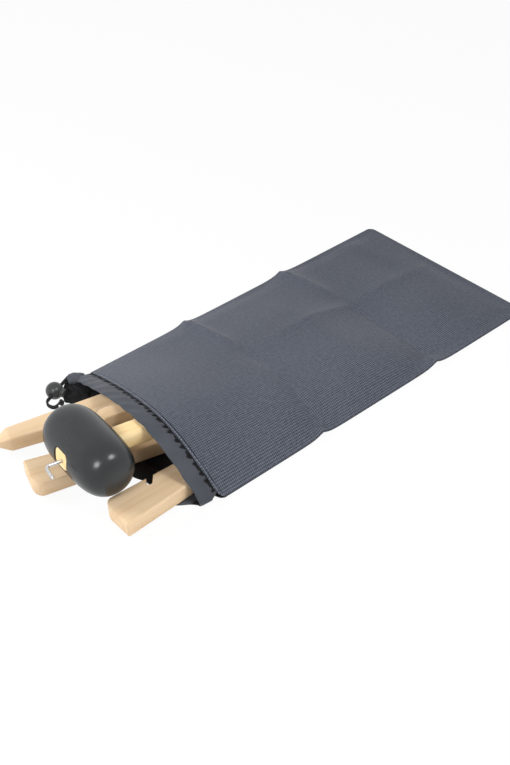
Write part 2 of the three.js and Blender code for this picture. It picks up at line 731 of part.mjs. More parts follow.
function mallet() {
  const tilted = new THREE.Group();
  tilted.rotation.y = handleTilt;
  tilted.add(piece('mallet_head', malletHeadGeometry(), rubber));
  tilted.add(piece('mallet_handle', malletHandleGeometry(), handleWood));
  tilted.add(piece('mallet_hook', malletHookGeometry(), zincSteel));
  const group = new THREE.Group();
  group.position.set(malletX, malletY, malletZ);
  group.rotation.z = malletYaw;
  group.add(tilted);
  return group;
}

function pegs() {
  const group = new THREE.Group();
  group.add(flatPeg('peg_left', leftPegX, leftPegY, leftPegYaw, 1));
  group.add(flatPeg('peg_under_mallet', underPegX, underPegY, underPegYaw, -1));
  group.add(flatPeg('peg_right', rightPegX, rightPegY, 0, 1));
  group.add(edgePeg('peg_on_edge', edgePegX, edgePegY, edgePegYaw, 1));
  return group;
}

// The origin is under the middle of all but the loose cord, at the height of the table
const contents = new THREE.Group();
contents.add(bag(), mallet(), pegs());
const middle = new THREE.Box3().setFromObject(contents, true).getCenter(new THREE.Vector3());
const set = new THREE.Group();
set.add(contents, cord(), cordLock());
set.position.set(-middle.x, -middle.y, 0);

export default set;
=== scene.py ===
# A camping set on a table: a rubber mallet and four beech tent pegs in a flat drawstring bag.
# The bag's forms are worked out in millimetres from its mouth, with X running to the closed end,
# and toRow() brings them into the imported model's frame, in metres.
from math import atan2, asin, cos, hypot, pi, radians, sin, tan

import bmesh
import bpy
import numpy as np
from mathutils import Euler, Matrix, Vector


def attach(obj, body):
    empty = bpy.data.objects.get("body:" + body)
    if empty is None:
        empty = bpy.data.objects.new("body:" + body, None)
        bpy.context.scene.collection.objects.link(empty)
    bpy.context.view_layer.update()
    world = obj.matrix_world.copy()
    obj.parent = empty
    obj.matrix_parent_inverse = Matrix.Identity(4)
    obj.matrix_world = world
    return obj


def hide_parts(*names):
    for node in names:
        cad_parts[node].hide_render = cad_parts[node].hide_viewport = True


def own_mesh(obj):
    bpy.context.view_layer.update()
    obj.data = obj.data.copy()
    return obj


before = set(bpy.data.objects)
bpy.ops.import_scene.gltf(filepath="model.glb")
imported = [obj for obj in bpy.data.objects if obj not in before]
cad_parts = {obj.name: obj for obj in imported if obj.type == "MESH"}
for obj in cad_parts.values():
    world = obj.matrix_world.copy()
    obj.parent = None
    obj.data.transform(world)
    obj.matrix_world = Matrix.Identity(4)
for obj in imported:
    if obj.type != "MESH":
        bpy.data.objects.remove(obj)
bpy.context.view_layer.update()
scene = bpy.context.scene
scene.view_settings.view_transform = "Standard"
print("frame loaded")

mouthShift = np.array([138.2412, 0.0, 0.0])  # from the bag's mouth to the frame's origin, mm


def toRow(points):
    return (np.asarray(points, float) - mouthShift) / 1000


# Camera

cameraLook = {
    "place": (-0.56264, -0.67668, 0.70598),
    "yaw": radians(-39.218),
    "pitch": radians(39.324),
    "roll": radians(-2.393),
    "lens": 54.53,
}


def makeCamera(look):
    yaw, pitch, roll = look["yaw"], look["pitch"], look["roll"]
    back = Vector((sin(yaw) * cos(pitch), -cos(yaw) * cos(pitch), sin(pitch)))
    level = Vector((cos(yaw), sin(yaw), 0))
    above = back.cross(level)
    right = level * cos(roll) + above * sin(roll)
    up = above * cos(roll) - level * sin(roll)
    data = bpy.data.cameras.new("camera")
    data.lens = look["lens"]
    data.sensor_width = 36
    camera = bpy.data.objects.new("camera", data)
    matrix = Matrix((right, up, back)).transposed().to_4x4()
    matrix.translation = look["place"]
    camera.matrix_world = matrix
    scene.collection.objects.link(camera)
    scene.camera = camera


makeCamera(cameraLook)
print("camera made")


# Meshes from grids of points

def unit(vectors):
    return vectors / np.linalg.norm(vectors, axis=-1, keepdims=True)


def smoothStep(value, low, high):
    share = np.clip((value - low) / (high - low), 0, 1)
    return share * share * (3 - 2 * share)


def xyz(x, y, z):
    return np.stack(np.broadcast_arrays(x, y, z), -1)


def corners(grid):
    # The four corners of each quad between neighbours of a grid of numbers
    return np.stack([grid[..., :-1, :-1], grid[..., 1:, :-1], grid[..., 1:, 1:], grid[..., :-1, 1:]],
                    -1).reshape(-1)


def quadMesh(name, points, loops):
    mesh = bpy.data.meshes.new(name)
    mesh.vertices.add(points.size // 3)
    mesh.vertices.foreach_set("co", points.reshape(-1).astype(np.float32))
    mesh.loops.add(len(loops))
    mesh.loops.foreach_set("vertex_index", loops.astype(np.int32))
    mesh.polygons.add(len(loops) // 4)
    mesh.polygons.foreach_set("loop_start", np.arange(0, len(loops), 4, dtype=np.int32))
    mesh.update(calc_edges=True)
    return mesh


def closeMesh(mesh):
    # Joins the doubled points of seams and poles, and turns the faces outwards
    work = bmesh.new()
    work.from_mesh(mesh)
    bmesh.ops.remove_doubles(work, verts=work.verts, dist=1e-6)
    bmesh.ops.recalc_face_normals(work, faces=work.faces)
    work.to_mesh(mesh)
    work.free()


def shadeSmooth(mesh):
    mesh.polygons.foreach_set("use_smooth", np.ones(len(mesh.polygons), bool))


def gridMesh(name, points, wrap=False, uv=None, merge=False):
    # One quad between each four neighbours of a rows x columns grid; wrap joins the last column
    # to the first, and merge closes poles where a whole row is one point
    rows, columns = points.shape[:2]
    number = np.arange(rows * columns).reshape(rows, columns)
    corner = np.arange(rows * (columns + wrap)).reshape(rows, columns + wrap)
    if wrap:
        number = np.concatenate([number, number[:, :1]], axis=1)
    mesh = quadMesh(name, points, corners(number))
    if uv is not None:
        layer = mesh.uv_layers.new(name="UVMap")
        layer.data.foreach_set("uv", uv.reshape(-1, 2)[corners(corner)].reshape(-1).astype(np.float32))
    if merge:
        closeMesh(mesh)
    shadeSmooth(mesh)
    mesh.validate()
    return mesh


def solidMesh(name, points, uv=None):
    return gridMesh(name, points, wrap=True, uv=uv, merge=True)


def addPiece(name, mesh, materials, body, slotName, *nodes):
    piece = bpy.data.objects.new(name, mesh)
    scene.collection.objects.link(piece)
    mesh.materials.clear()
    for material in materials:
        mesh.materials.append(material)
    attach(piece, body)
    if nodes:
        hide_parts(*nodes)
    return piece


def addWall(piece, thickness, inside=0):
    # Gives a sheet its thickness, inwards, with the material that many places on for its inside
    wall = piece.modifiers.new("wall", "SOLIDIFY")
    wall.thickness, wall.offset, wall.material_offset = thickness, -1, inside


def paint(mesh, black):
    # Faces where black is true take the piece's second material
    mesh.polygons.foreach_set("material_index", np.ascontiguousarray(black).reshape(-1).astype(np.int32))


def lengthsAlong(path):
    steps = np.linalg.norm(np.diff(path, axis=0), axis=1)
    return np.concatenate([[0], np.cumsum(steps)])


def evenly(path, count):
    # The same path at equal distances along it
    along = lengthsAlong(path)
    wanted = np.linspace(0, along[-1], count)
    return np.stack([np.interp(wanted, along, path[:, axis]) for axis in range(3)], -1)


def smoothPath(points, parts):
    # A Catmull-Rom curve through the points: each piece is the cubic that leaves a point along the
    # line between its two neighbours
    points = np.asarray(points, float)
    before = np.vstack([2 * points[0] - points[1], points, 2 * points[-1] - points[-2]])
    share = np.linspace(0, 1, parts, endpoint=False)[None, :, None]
    a, b, c, d = (before[start:len(before) - 3 + start, None, :] for start in range(4))
    curve = 0.5 * (2 * b + (c - a) * share + (2 * a - 5 * b + 4 * c - d) * share ** 2
                   + (3 * b - a - 3 * c + d) * share ** 3)
    return np.vstack([curve.reshape(-1, 3), points[-1]])


def tubeRings(path, radius, sides, reference):
    # A ring of points round each point of the path, in the plane across it
    way = unit(np.gradient(path, axis=0))
    across = unit(np.cross(way, np.asarray(reference, float)))
    up = np.cross(across, way)
    angle = np.linspace(0, 2 * pi, sides, endpoint=False)[None, :, None]
    radius = np.broadcast_to(radius, len(path))[:, None, None]
    return path[:, None] + radius * (np.cos(angle) * across[:, None] + np.sin(angle) * up[:, None])


def roundEnded(path, radius, count):
    # Stations crowded near both ends and the radius that rounds the ends into half balls
    along = lengthsAlong(path)
    total = along[-1]
    cap = radius * (1 - np.cos(np.linspace(0, pi / 2, 7)))
    wanted = np.concatenate([cap, np.linspace(radius, total - radius, count)[1:-1], total - cap[::-1]])
    placed = np.stack([np.interp(wanted, along, path[:, axis]) for axis in range(3)], -1)
    fromEnd = np.minimum(np.minimum(wanted, total - wanted), radius)
    return placed, np.sqrt(np.maximum(radius ** 2 - (radius - fromEnd) ** 2, 0)), wanted


def tubeMap(along, radius, sides):
    # Metres along the tube and round it
    return np.stack(np.meshgrid(along, np.linspace(0, 2 * pi * radius, sides + 1), indexing="ij"), -1)


def tubeMesh(name, path, radius, sides, count, reference=(0, 0, 1)):
    placed, radii, along = roundEnded(path, radius, count)
    rings = tubeRings(placed, np.maximum(radii, 1e-9), sides, reference)
    return solidMesh(name, rings, tubeMap(along, radius, sides))


# Materials

def linear(colour):
    values = [int(colour[at:at + 2], 16) / 255 for at in (1, 3, 5)]
    return [v / 12.92 if v <= 0.04045 else ((v + 0.055) / 1.055) ** 2.4 for v in values] + [1]


def setStops(band, stops):
    while len(band.elements) < len(stops):
        band.elements.new(1)
    for element, (place, colour) in zip(band.elements, stops):
        element.position, element.color = place, linear(colour)


def addNode(tree, kind, *values, output=0, **settings):
    # The values go to the node's first sockets. Each setting is a property, another socket or a
    # ramp's stops. Either may be the output of another node, and the node's own output comes back.
    node = tree.nodes.new("ShaderNode" + kind)
    for key, value in [*enumerate(values), *settings.items()]:
        if key == "stops":
            setStops(node.color_ramp, value)
        elif isinstance(value, bpy.types.NodeSocket):
            tree.links.new(value, node.inputs[key])
        elif isinstance(key, str) and hasattr(node, key):
            setattr(node, key, value)
        else:
            node.inputs[key].default_value = value
    return node.outputs[output]


def newMaterial(name, settings):
    material = bpy.data.materials.new(name)
    material.use_nodes = True
    shader = material.node_tree.nodes["Principled BSDF"]
    for key, value in settings.items():
        shader.inputs[key].default_value = value
    return material, material.node_tree


def dress(material, patterns, height=None, strength=0, depth=0):
    # Links patterns to the shader's sockets; the height makes a relief, depth metres deep
    tree = material.node_tree
    if height is not None:
        relief = addNode(tree, "Bump", Strength=strength, Distance=depth, Height=height)
        patterns = {**patterns, "Normal": relief}
    for key, source in patterns.items():
        tree.links.new(source, tree.nodes["Principled BSDF"].inputs[key])
    return material


def pieceMap(tree):
    # The piece's own UV map, in metres, and its two parts
    place = addNode(tree, "UVMap", uv_map="UVMap")
    parts = addNode(tree, "SeparateXYZ", Vector=place).node.outputs
    return place, parts["X"], parts["Y"]


def threadWaves(tree, wave, ways, rate):
    # The same wave along each of the two ways that threads run
    along = [addNode(tree, "Math", way, rate, operation="MULTIPLY") for way in ways]
    return [addNode(tree, "Math", turn, operation=wave) for turn in along]


wovenLook = {
    "dark": "#292d37",
    "light": "#696e7a",
    "pitch": 0.0019,  # the threads are a third of this, and are drawn as coarse as shows
    "bump": 0.00018,
}


def wovenPolyester(look):
    # Oxford polyester, woven and coated: matt, with a lattice of small domes, the mean of a cosine
    # along one thread and a cosine along the other
    material, tree = newMaterial("woven_polyester", {
        "Roughness": 0.82, "Specular IOR Level": 0.3, "Sheen Weight": 0.12, "Sheen Roughness": 0.5})
    place, along, across = pieceMap(tree)
    first, second = threadWaves(tree, "COSINE", (along, across), 2 * pi / look["pitch"])
    both = addNode(tree, "Math", first, second, operation="ADD")
    height = addNode(tree, "Math", both, 0.5, operation="MULTIPLY")
    # The dye and the way the threads lie are a little uneven, at a hand's breadth and at a thread's
    cloud = addNode(tree, "TexNoise", Scale=9, Detail=3, Roughness=0.55,
                    Vector=addNode(tree, "TexCoord", output="Object"))
    thread = addNode(tree, "TexNoise", Scale=300, Detail=2, Roughness=0.7, Vector=place)
    mixed = -0.03
    for source, share in ((height, 0.5), (cloud, 0.3), (thread, 0.7)):
        # The two noises are 0.5 on average, so the starting value takes half their shares off
        mixed = addNode(tree, "Math", source, share, mixed, operation="MULTIPLY_ADD")
    colour = addNode(tree, "ValToRGB", Fac=mixed, stops=[(0, look["dark"]), (1, look["light"])])
    return dress(material, {"Base Color": colour}, height, 0.6, look["bump"])


bandLook = {"dark": "#373b42", "light": "#464a51", "inside": "#070709", "insideLight": "#0c0c10"}


def smoothPolyester(name, dark, light, roughness):
    # Smooth polyester, calendered or coated: finer than the woven cloth, with small creases
    material, tree = newMaterial(name, {
        "Roughness": roughness, "Specular IOR Level": 0.35, "Sheen Weight": 0.05})
    place = addNode(tree, "TexCoord", output="Object")
    crease = addNode(tree, "TexNoise", Scale=160, Detail=4, Roughness=0.6, Vector=place)
    cloud = addNode(tree, "TexNoise", Scale=30, Detail=2, Vector=place)
    colour = addNode(tree, "ValToRGB", Fac=cloud, stops=[(0.3, dark), (0.7, light)])
    return dress(material, {"Base Color": colour}, crease, 0.35, 0.0006)


cordLook = {"dark": "#0e0e10", "light": "#242428", "braid": 0.0016}


def braidedCord(look):
    # Braided polyester cord: two sets of strands wind round it in opposite directions, and the
    # product of a sine along each is a chequer of low domes
    material, tree = newMaterial("braided_polyester_cord", {
        "Roughness": 0.7, "Specular IOR Level": 0.35, "Sheen Weight": 0.1})
    _, along, around = pieceMap(tree)
    ways = [addNode(tree, "Math", along, around, operation=way) for way in ("ADD", "SUBTRACT")]
    first, second = threadWaves(tree, "SINE", ways, pi / look["braid"])
    height = addNode(tree, "Math", first, second, operation="MULTIPLY")
    share = addNode(tree, "Math", height, 0.5, 0.5, operation="MULTIPLY_ADD")
    colour = addNode(tree, "ValToRGB", Fac=share, stops=[(0.2, look["dark"]), (0.9, look["light"])])
    return dress(material, {"Base Color": colour}, height, 0.8, 0.0003)


rubberLook = {"dark": "#181a1b", "light": "#25282a"}


def mouldedRubber(look):
    # Vulcanised rubber, moulded: dark grey, a soft shine, a faint cloudiness where it was handled
    material, tree = newMaterial("moulded_rubber", {"Specular IOR Level": 0.5, "IOR": 1.52})
    place = addNode(tree, "TexCoord", output="Object")
    cloud = addNode(tree, "TexNoise", Scale=24, Detail=4, Roughness=0.6, Vector=place)
    grain = addNode(tree, "TexNoise", Scale=900, Detail=2, Vector=place)
    colour = addNode(tree, "ValToRGB", Fac=cloud, stops=[(0.3, look["dark"]), (0.75, look["light"])])
    shine = addNode(tree, "Math", cloud, 0.12, 0.2, operation="MULTIPLY_ADD")
    return dress(material, {"Base Color": colour, "Roughness": shine}, grain, 0.25, 0.0001)


def mouldedPlastic(name, dark, light):
    # Injection-moulded ABS, with the fine spark texture of its mould
    material, tree = newMaterial(name, {"Roughness": 0.32, "Specular IOR Level": 0.5, "IOR": 1.54})
    place = addNode(tree, "TexCoord", output="Object")
    grain = addNode(tree, "TexNoise", Scale=1600, Detail=2, Vector=place)
    colour = addNode(tree, "ValToRGB", Fac=grain, stops=[(0.3, dark), (0.7, light)])
    return dress(material, {"Base Color": colour}, grain, 0.3, 0.00006)


def drawnSteel(name, colour, roughness):
    # Steel wire, drawn and zinc plated: pale, with faint draw marks in its shine
    material, tree = newMaterial(name, {"Metallic": 1})
    place = addNode(tree, "TexCoord", output="Object")
    cloud = addNode(tree, "TexNoise", Scale=500, Detail=3, Vector=place)
    tint = addNode(tree, "ValToRGB", Fac=cloud, stops=[(0.2, colour), (0.9, "#dfe1e3")])
    shine = addNode(tree, "Math", cloud, 0.15, roughness, operation="MULTIPLY_ADD")
    return dress(material, {"Base Color": tint, "Roughness": shine})


pegLook = {"ring": "#d3b48e", "wood": "#dec19c", "pale": "#e5cba9", "fleck": "#bd9a72"}
handleLook = {"ring": "#ecc98c", "wood": "#f5d69f", "pale": "#fbe4b6", "fleck": "#d2a86c"}


def sawnWood(name, look, place, turn):
    # Beech, sawn and sanded: pale, with growth rings a few millimetres apart that run along the
    # piece, and the short dark flecks of its rays. place and turn are the piece's own frame.
    material, tree = newMaterial(name, {"Roughness": 0.62, "Specular IOR Level": 0.35})
    own = addNode(tree, "Mapping", vector_type="TEXTURE", Location=place, Rotation=turn,
                  Vector=addNode(tree, "TexCoord", output="Object"))
    along = addNode(tree, "Mapping", Scale=(7, 130, 70), Vector=own)
    rings = addNode(tree, "TexNoise", Scale=1, Detail=3, Roughness=0.5, Distortion=0.4, Vector=along)
    flecked = addNode(tree, "Mapping", Scale=(330, 2300, 2300), Vector=own)
    flecks = addNode(tree, "TexNoise", Scale=1, Detail=1, Vector=flecked)
    fleck = addNode(tree, "Math", flecks, 0.66, operation="GREATER_THAN")
    share = addNode(tree, "Math", fleck, 0.2, operation="MULTIPLY")
    base = addNode(tree, "ValToRGB", Fac=rings,
                   stops=[(0.32, look["ring"]), (0.5, look["wood"]), (0.75, look["pale"])])
    # A mix node's colours are its sockets 6 and 7, and the mixed colour is its output 2
    colour = addNode(tree, "Mix", share, data_type="RGBA", output=2)
    tree.links.new(base, colour.node.inputs[6])
    colour.node.inputs[7].default_value = linear(look["fleck"])
    height = addNode(tree, "Math", rings, fleck, operation="SUBTRACT")
    return dress(material, {"Base Color": colour}, height, 0.3, 0.0001)


woven = wovenPolyester(wovenLook)
lining = smoothPolyester("polyester_lining", bandLook["dark"], bandLook["light"], 0.62)
coating = smoothPolyester("black_coated_polyester", bandLook["inside"], bandLook["insideLight"], 0.85)
braided = braidedCord(cordLook)
rubber = mouldedRubber(rubberLook)
lockPlastic = mouldedPlastic("moulded_abs", "#242627", "#323435")
zincSteel = drawnSteel("zinc_plated_steel", "#c3c5c7", 0.22)
springSteel = drawnSteel("spring_steel", "#aeb1b4", 0.25)
print("materials made")


# The bag's forms, as its solids have them, in millimetres from the mouth

bagForm = {
    "length": 397, "halfWidth": 110, "cloth": 1.2, "corner": 8, "seamHeight": 1.5,
    "mouthOffset": 2.5, "mouthSlant": 0.072, "mouthBow": 9, "mouthReach": 18, "hemCorner": 7,
    "leftRamp": (3, 15), "rightRamp": (6, 25), "leftPower": 1.6, "rightPower": 2.1,
    "drape": 100, "ease": 1.5, "sag": 8.4, "sagPlace": -29, "sagWidth": 19,
}
malletForm = {
    "x": -76.5, "y": -23.8, "z": 45.9, "yaw": radians(-4), "headDiameter": 54, "headLength": 94.5,
    "power": 3.56, "width": 20, "height": 17, "corner": 5, "length": 295, "recess": 1, "endRound": 1.5,
    "wire": 3, "seat": 18, "aside": 2, "reach": 15.5, "leg": 13.5, "lean": radians(75),
}
malletForm["front"] = malletForm["headDiameter"] / 2 - malletForm["recess"]
malletForm["back"] = malletForm["length"] - malletForm["front"]
malletForm["tilt"] = (
    asin((malletForm["z"] - bagForm["seamHeight"]) / hypot(malletForm["back"], malletForm["height"] / 2))
    - atan2(malletForm["height"] / 2, malletForm["back"]))


def ridgeY(x):
    return malletForm["y"] + tan(malletForm["yaw"]) * (x - malletForm["x"])


def archShare(x, y):
    # 0 at the side seams and 1 over the handle: one less a power of the share of the way out
    middle = ridgeY(x)
    half = bagForm["halfWidth"]
    left = y > middle
    share = np.where(left, (y - middle) / (half - middle), (middle - y) / (half + middle))
    return 1 - np.clip(share, 0, 1) ** np.where(left, bagForm["leftPower"], bagForm["rightPower"])


def ridgeHeight(x):
    # Over the handle, which slopes down into the bag, then a smooth step to the lower panel
    tilt, yaw = malletForm["tilt"], malletForm["yaw"]
    endX = malletForm["x"] + malletForm["back"] * cos(tilt) * cos(yaw)
    along = (np.minimum(x, endX) - malletForm["x"]) / cos(yaw)
    over = malletForm["z"] - along * tan(tilt) + malletForm["height"] / 2 / cos(tilt) + bagForm["ease"]
    fallen = smoothStep(x, endX, endX + bagForm["drape"])
    return over + (bagForm["seamHeight"] - over) * fallen


def fromSeam(y):
    return bagForm["halfWidth"] - np.abs(y)


def mouthEdge(y):
    # The hem turns in round the right corner, where the band is folded under it
    radius = bagForm["hemCorner"]
    into = np.clip(-y - (bagForm["halfWidth"] - radius), 0, radius)
    return radius - np.sqrt(radius ** 2 - into ** 2)


def clothUnderside(x, y):
    return bagForm["seamHeight"] + (ridgeHeight(x) - bagForm["seamHeight"]) * archShare(x, y)


def upperMouthX(y):
    return bagForm["mouthOffset"] + bagForm["mouthSlant"] * y - bagForm["mouthBow"] * archShare(0.0, y)


def sag(y):
    # The lower lip lies a little further out beside the middle
    return bagForm["sag"] * np.exp(-((y - bagForm["sagPlace"]) / bagForm["sagWidth"]) ** 2)


def lowerMouthX(y):
    left, right = (smoothStep(fromSeam(y), *bagForm[side]) for side in ("leftRamp", "rightRamp"))
    reach = bagForm["mouthReach"] * np.where(y > 0, left, right)
    return bagForm["mouthOffset"] + bagForm["mouthSlant"] * y - reach


def closedEndX(y):
    into = np.maximum(0, np.abs(y) - (bagForm["halfWidth"] - bagForm["corner"]))
    return bagForm["length"] - bagForm["corner"] + np.sqrt(bagForm["corner"] ** 2 - into ** 2)


# The cords come first

cordForm = {
    "diameter": 2.0,
    "sides": 14,
    "upper": [
        [-0.1, 105.35, 5.9], [-0.1, 107.6, 5.2], [-0.1, 110, 5.1], [-0.75, 112.5, 5.4],
        [-2.5, 114.35, 6], [-5, 115, 6.9], [-7.2, 114.5, 7.7], [-10.6, 112.86, 8.9],
        [-14.1, 111.16, 9.7], [-19.5, 108.54, 9.95], [-22.65, 107.01, 9.95], [-33, 102, 9.95],
        [-43.35, 96.99, 9.95], [-46.5, 95.46, 9.9], [-48.3, 93.8, 9.2], [-48.8, 91.8, 8.2],
        [-48.2, 89.85, 7.2], [-46.7, 88.4, 6.2], [-44.8, 87.9, 5.2], [-42, 88.55, 4.4],
        [-39.55, 89.26, 4.2]],
    "lower": [
        [0.4, 107.3, 1.65], [0.3, 109, 1.65], [-0.1, 110.8, 1.8], [-1.2, 113, 2.4],
        [-3, 114.5, 3.2], [-5.2, 114.95, 4.1], [-7.6, 114.3, 5.1], [-10.6, 112.86, 6.3],
        [-14.1, 111.16, 7.3], [-19.5, 108.54, 7.65], [-22.65, 107.01, 7.65], [-33, 102, 7.65],
        [-43.35, 96.99, 7.65], [-46.5, 95.46, 7.6], [-48.3, 93.8, 6.9], [-48.8, 91.8, 5.9],
        [-48.2, 89.85, 4.9], [-46.7, 88.4, 3.9], [-44.8, 87.9, 2.9], [-42, 88.55, 2.1],
        [-39.55, 89.26, 1.9]],
    "knot": (-35.6, 90.4, 3.05),
    "knotYaw": radians(16),
    "knotSize": np.array([0.98, 0.78, 0.9]),
}


def turned(yaw, tilt=0.0):
    return np.array(Euler((0, tilt, yaw)).to_matrix())


def makeStrand(name, node, points):
    route = toRow(smoothPath(points, 8))
    mesh = tubeMesh(name, route, cordForm["diameter"] / 2000, cordForm["sides"], 180)
    return addPiece(name, mesh, [braided], "bag", "cord_black", node), route


def makeKnot():
    # Both strands in one overhand knot: a trefoil line, flattened and drawn tight
    turn = np.linspace(0, 2 * pi, 161)
    line = xyz(np.sin(turn) + 2 * np.sin(2 * turn), np.cos(turn) - 2 * np.cos(2 * turn),
               -1.6 * np.sin(3 * turn)) * cordForm["knotSize"]
    line = toRow(line @ turned(cordForm["knotYaw"]).T + np.array(cordForm["knot"]))
    radius, sides = cordForm["diameter"] / 2000, cordForm["sides"]
    rings = tubeRings(line, radius, sides, (0, 0, 1))
    mesh = solidMesh("cordKnot", rings, tubeMap(lengthsAlong(line), radius, sides))
    return addPiece("cordKnot", mesh, [braided], "bag", "cord_black", "cord_end_knot")


upperStrand, upperRoute = makeStrand("cordStrandUpper", "cord_end_upper", cordForm["upper"])
lowerStrand, lowerRoute = makeStrand("cordStrandLower", "cord_end_lower", cordForm["lower"])
cordKnot = makeKnot()
print("cords made")


# The cord lock: the strands pass along X, and the plunger comes out towards -Y

lockForm = {
    "place": (-33 - 1.5 * sin(radians(25.84)), 102 + 1.5 * cos(radians(25.84)), 8.8),
    "yaw": radians(25.84), "radius": 8.5, "bore": 4.5, "floor": 6.0, "borePast": 4.0, "slotPast": 4.5,
    "slotHeight": 4.9, "slotRound": 0.8, "slotOuter": -2.8, "slotInner": -0.2, "windowRound": 0.6,
    "back": 1.3, "tip": -12.5, "travel": 2.5, "slide": 5.0, "gap": 0.3, "wire": 0.6, "coil": 6.4, "turns": 3,
}


def lockToRow(points):
    return toRow(points @ turned(lockForm["yaw"]).T + np.array(lockForm["place"]))


def lathe(profile, sides, axis="y"):
    # A profile of (radius, height) pairs turned once round the axis
    angle = np.linspace(0, 2 * pi, sides, endpoint=False)
    out, height = profile[:, 0][:, None], profile[:, 1][:, None]
    first, second = out * np.cos(angle), out * np.sin(angle)
    return xyz(first, height, second) if axis == "y" else xyz(first, second, height)


def roundedBox(low, high, radius, sides=5):
    # A box with rounded long edges: a rounded rectangle in Y and Z, carried along X
    low, high = np.array(low, float), np.array(high, float)
    quarter = np.linspace(0, pi / 2, sides)
    ring = []
    for turn, (y, z) in enumerate([(1, 1), (-1, 1), (-1, -1), (1, -1)]):
        angle = quarter + turn * pi / 2
        centre = [(high[at] if way > 0 else low[at]) - way * radius for at, way in ((1, y), (2, z))]
        ring.append(np.stack([centre[0] + radius * np.cos(angle), centre[1] + radius * np.sin(angle)], -1))
    ring = np.concatenate(ring)
    middle = ring.mean(0)
    rows = [(low[0], 0), (low[0], 1), (high[0], 1), (high[0], 0)]
    return np.stack([np.column_stack([np.full(len(ring), x), middle + (ring - middle) * share])
                     for x, share in rows])


def carve(mesh, *cutters):
    # Takes the cutters out of the mesh, and keeps smooth shading except over sharp edges
    piece = bpy.data.objects.new("work", mesh)
    scene.collection.objects.link(piece)
    tools = []
    for cutter in cutters:
        tool = bpy.data.objects.new("tool", cutter)
        scene.collection.objects.link(tool)
        modifier = piece.modifiers.new("cut", "BOOLEAN")
        modifier.operation, modifier.object, modifier.solver = "DIFFERENCE", tool, "EXACT"
        tools.append(tool)
    made = bpy.data.meshes.new_from_object(piece.evaluated_get(bpy.context.evaluated_depsgraph_get()))
    for thing in [piece, *tools]:
        bpy.data.objects.remove(thing)
    made.polygons.foreach_set("use_smooth", np.ones(len(made.polygons), bool))
    made.set_sharp_from_angle(angle=radians(38))
    return made


def makeBall():
    # A sphere, bored from the button's side and slotted across for both strands
    form = lockForm
    angle = np.linspace(-pi / 2, pi / 2, 49)
    ball = lathe(np.stack([form["radius"] * np.cos(angle), form["radius"] * np.sin(angle)], -1), 96, "z")
    mouth = -form["radius"] - form["borePast"]
    bore = np.array([[0, form["floor"]], [form["bore"], form["floor"]], [form["bore"], mouth], [0, mouth]])
    half, slotTop = form["radius"] + form["slotPast"], form["slotHeight"] / 2
    slot = roundedBox((-half, form["slotOuter"], -slotTop), (half, form["back"] - form["gap"], slotTop),
                      form["slotRound"])
    mesh = carve(solidMesh("ball", lockToRow(ball)), solidMesh("bore", lockToRow(lathe(bore, 64))),
                 solidMesh("slot", lockToRow(slot)))
    return addPiece("lockBall", mesh, [lockPlastic], "cord_lock", "lock_plastic", "cord_lock_ball")


def makePlunger():
    # A round bar with a domed tip, and a window that the strands pass through
    form = lockForm
    radius, gap = form["bore"] - form["gap"], form["gap"]
    quarter = np.linspace(0, pi / 2, 13)
    dome = np.stack([radius * np.sin(quarter), form["tip"] + radius / 2 * (1 - np.cos(quarter))], -1)
    shaft = np.array([[radius, form["back"] - gap], [radius - gap, form["back"]], [0, form["back"]]])
    half, slotTop = form["radius"] + form["slotPast"], form["slotHeight"] / 2
    window = roundedBox((-half, form["slotOuter"] - form["travel"], -slotTop),
                        (half, form["slotInner"], slotTop), form["windowRound"])
    mesh = carve(solidMesh("plunger", lockToRow(lathe(np.vstack([dome, shaft]), 64))),
                 solidMesh("window", lockToRow(window)))
    return addPiece("lockPlunger", mesh, [lockPlastic], "cord_lock_button", "lock_plastic",
                    "cord_lock_plunger")


def makeSpring():
    # The spring's line winds round Y: a circle in X and Z that moves along at an even rate
    form = lockForm
    low = form["back"] + form["gap"] + form["wire"] / 2
    high = form["floor"] - form["gap"] - form["wire"] / 2
    turn = np.linspace(0, 2 * pi * form["turns"], 150)
    coil = (form["coil"] - form["wire"]) / 2
    line = lockToRow(xyz(coil * np.cos(turn), np.linspace(low, high, 150), coil * np.sin(turn)))
    axis = turned(form["yaw"]) @ np.array([0, 1, 0])
    spring = addPiece("lockSpring", tubeMesh("lockSpring", line, form["wire"] / 2000, 10, 150, axis),
                      [springSteel], "cord_lock", "spring_steel", "cord_lock_spring")
    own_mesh(spring)


lockBall = makeBall()
lockPlunger = makePlunger()
makeSpring()
print("cord lock made")


# The cloth

clothLook = {
    "rows": 245, "columns": 170, "wall": 0.0011, "lowerRows": 150, "lowerColumns": 90, "lowerWall": 0.0010,
    "roll": 1.2, "hemWidth": 3.0, "hemHeight": 1.4, "groove": 3.4, "grooveDepth": 1.3, "stitchLine": 1.5,
    "hemRows": 40, "hemShare": 0.02, "leastGap": 0.9, "foldRound": 0.9, "edgeLift": 1.1, "flatEdge": 14,
    # storage folds across the bag: place, slant, height, width, and where a ridge turns into a valley
    "creases": [(121, 0.05, 4.2, 6.5, 12), (262, -0.04, 4.2, 7.5, 20)],
    "held": 0.8, "heldWidth": 24, "turnWidth": 30,
    "spine": {"place": 6, "slant": 0.02, "height": 7.0, "crisp": 2.0, "width": 9, "power": 1.15, "end": 60},
    # slow waves: height, lengths along and across, and phase; the last one only in the far part,
    # which begins over the handle's end
    "waves": [(0.5, 23, 61, 0.7), (0.4, -90, 19, 2.1), (0.35, 13, -27, 4.2)], "far": (120, 210),
    "rest": 0.5, "near": 0.7, "farMore": 0.9,
    "ripples": {"place": 355, "width": 26, "height": 0.9, "along": 9.5, "across": 40, "side": (-70, 30)},
    "loft": 2.4, "loftStart": (60, 120),
}


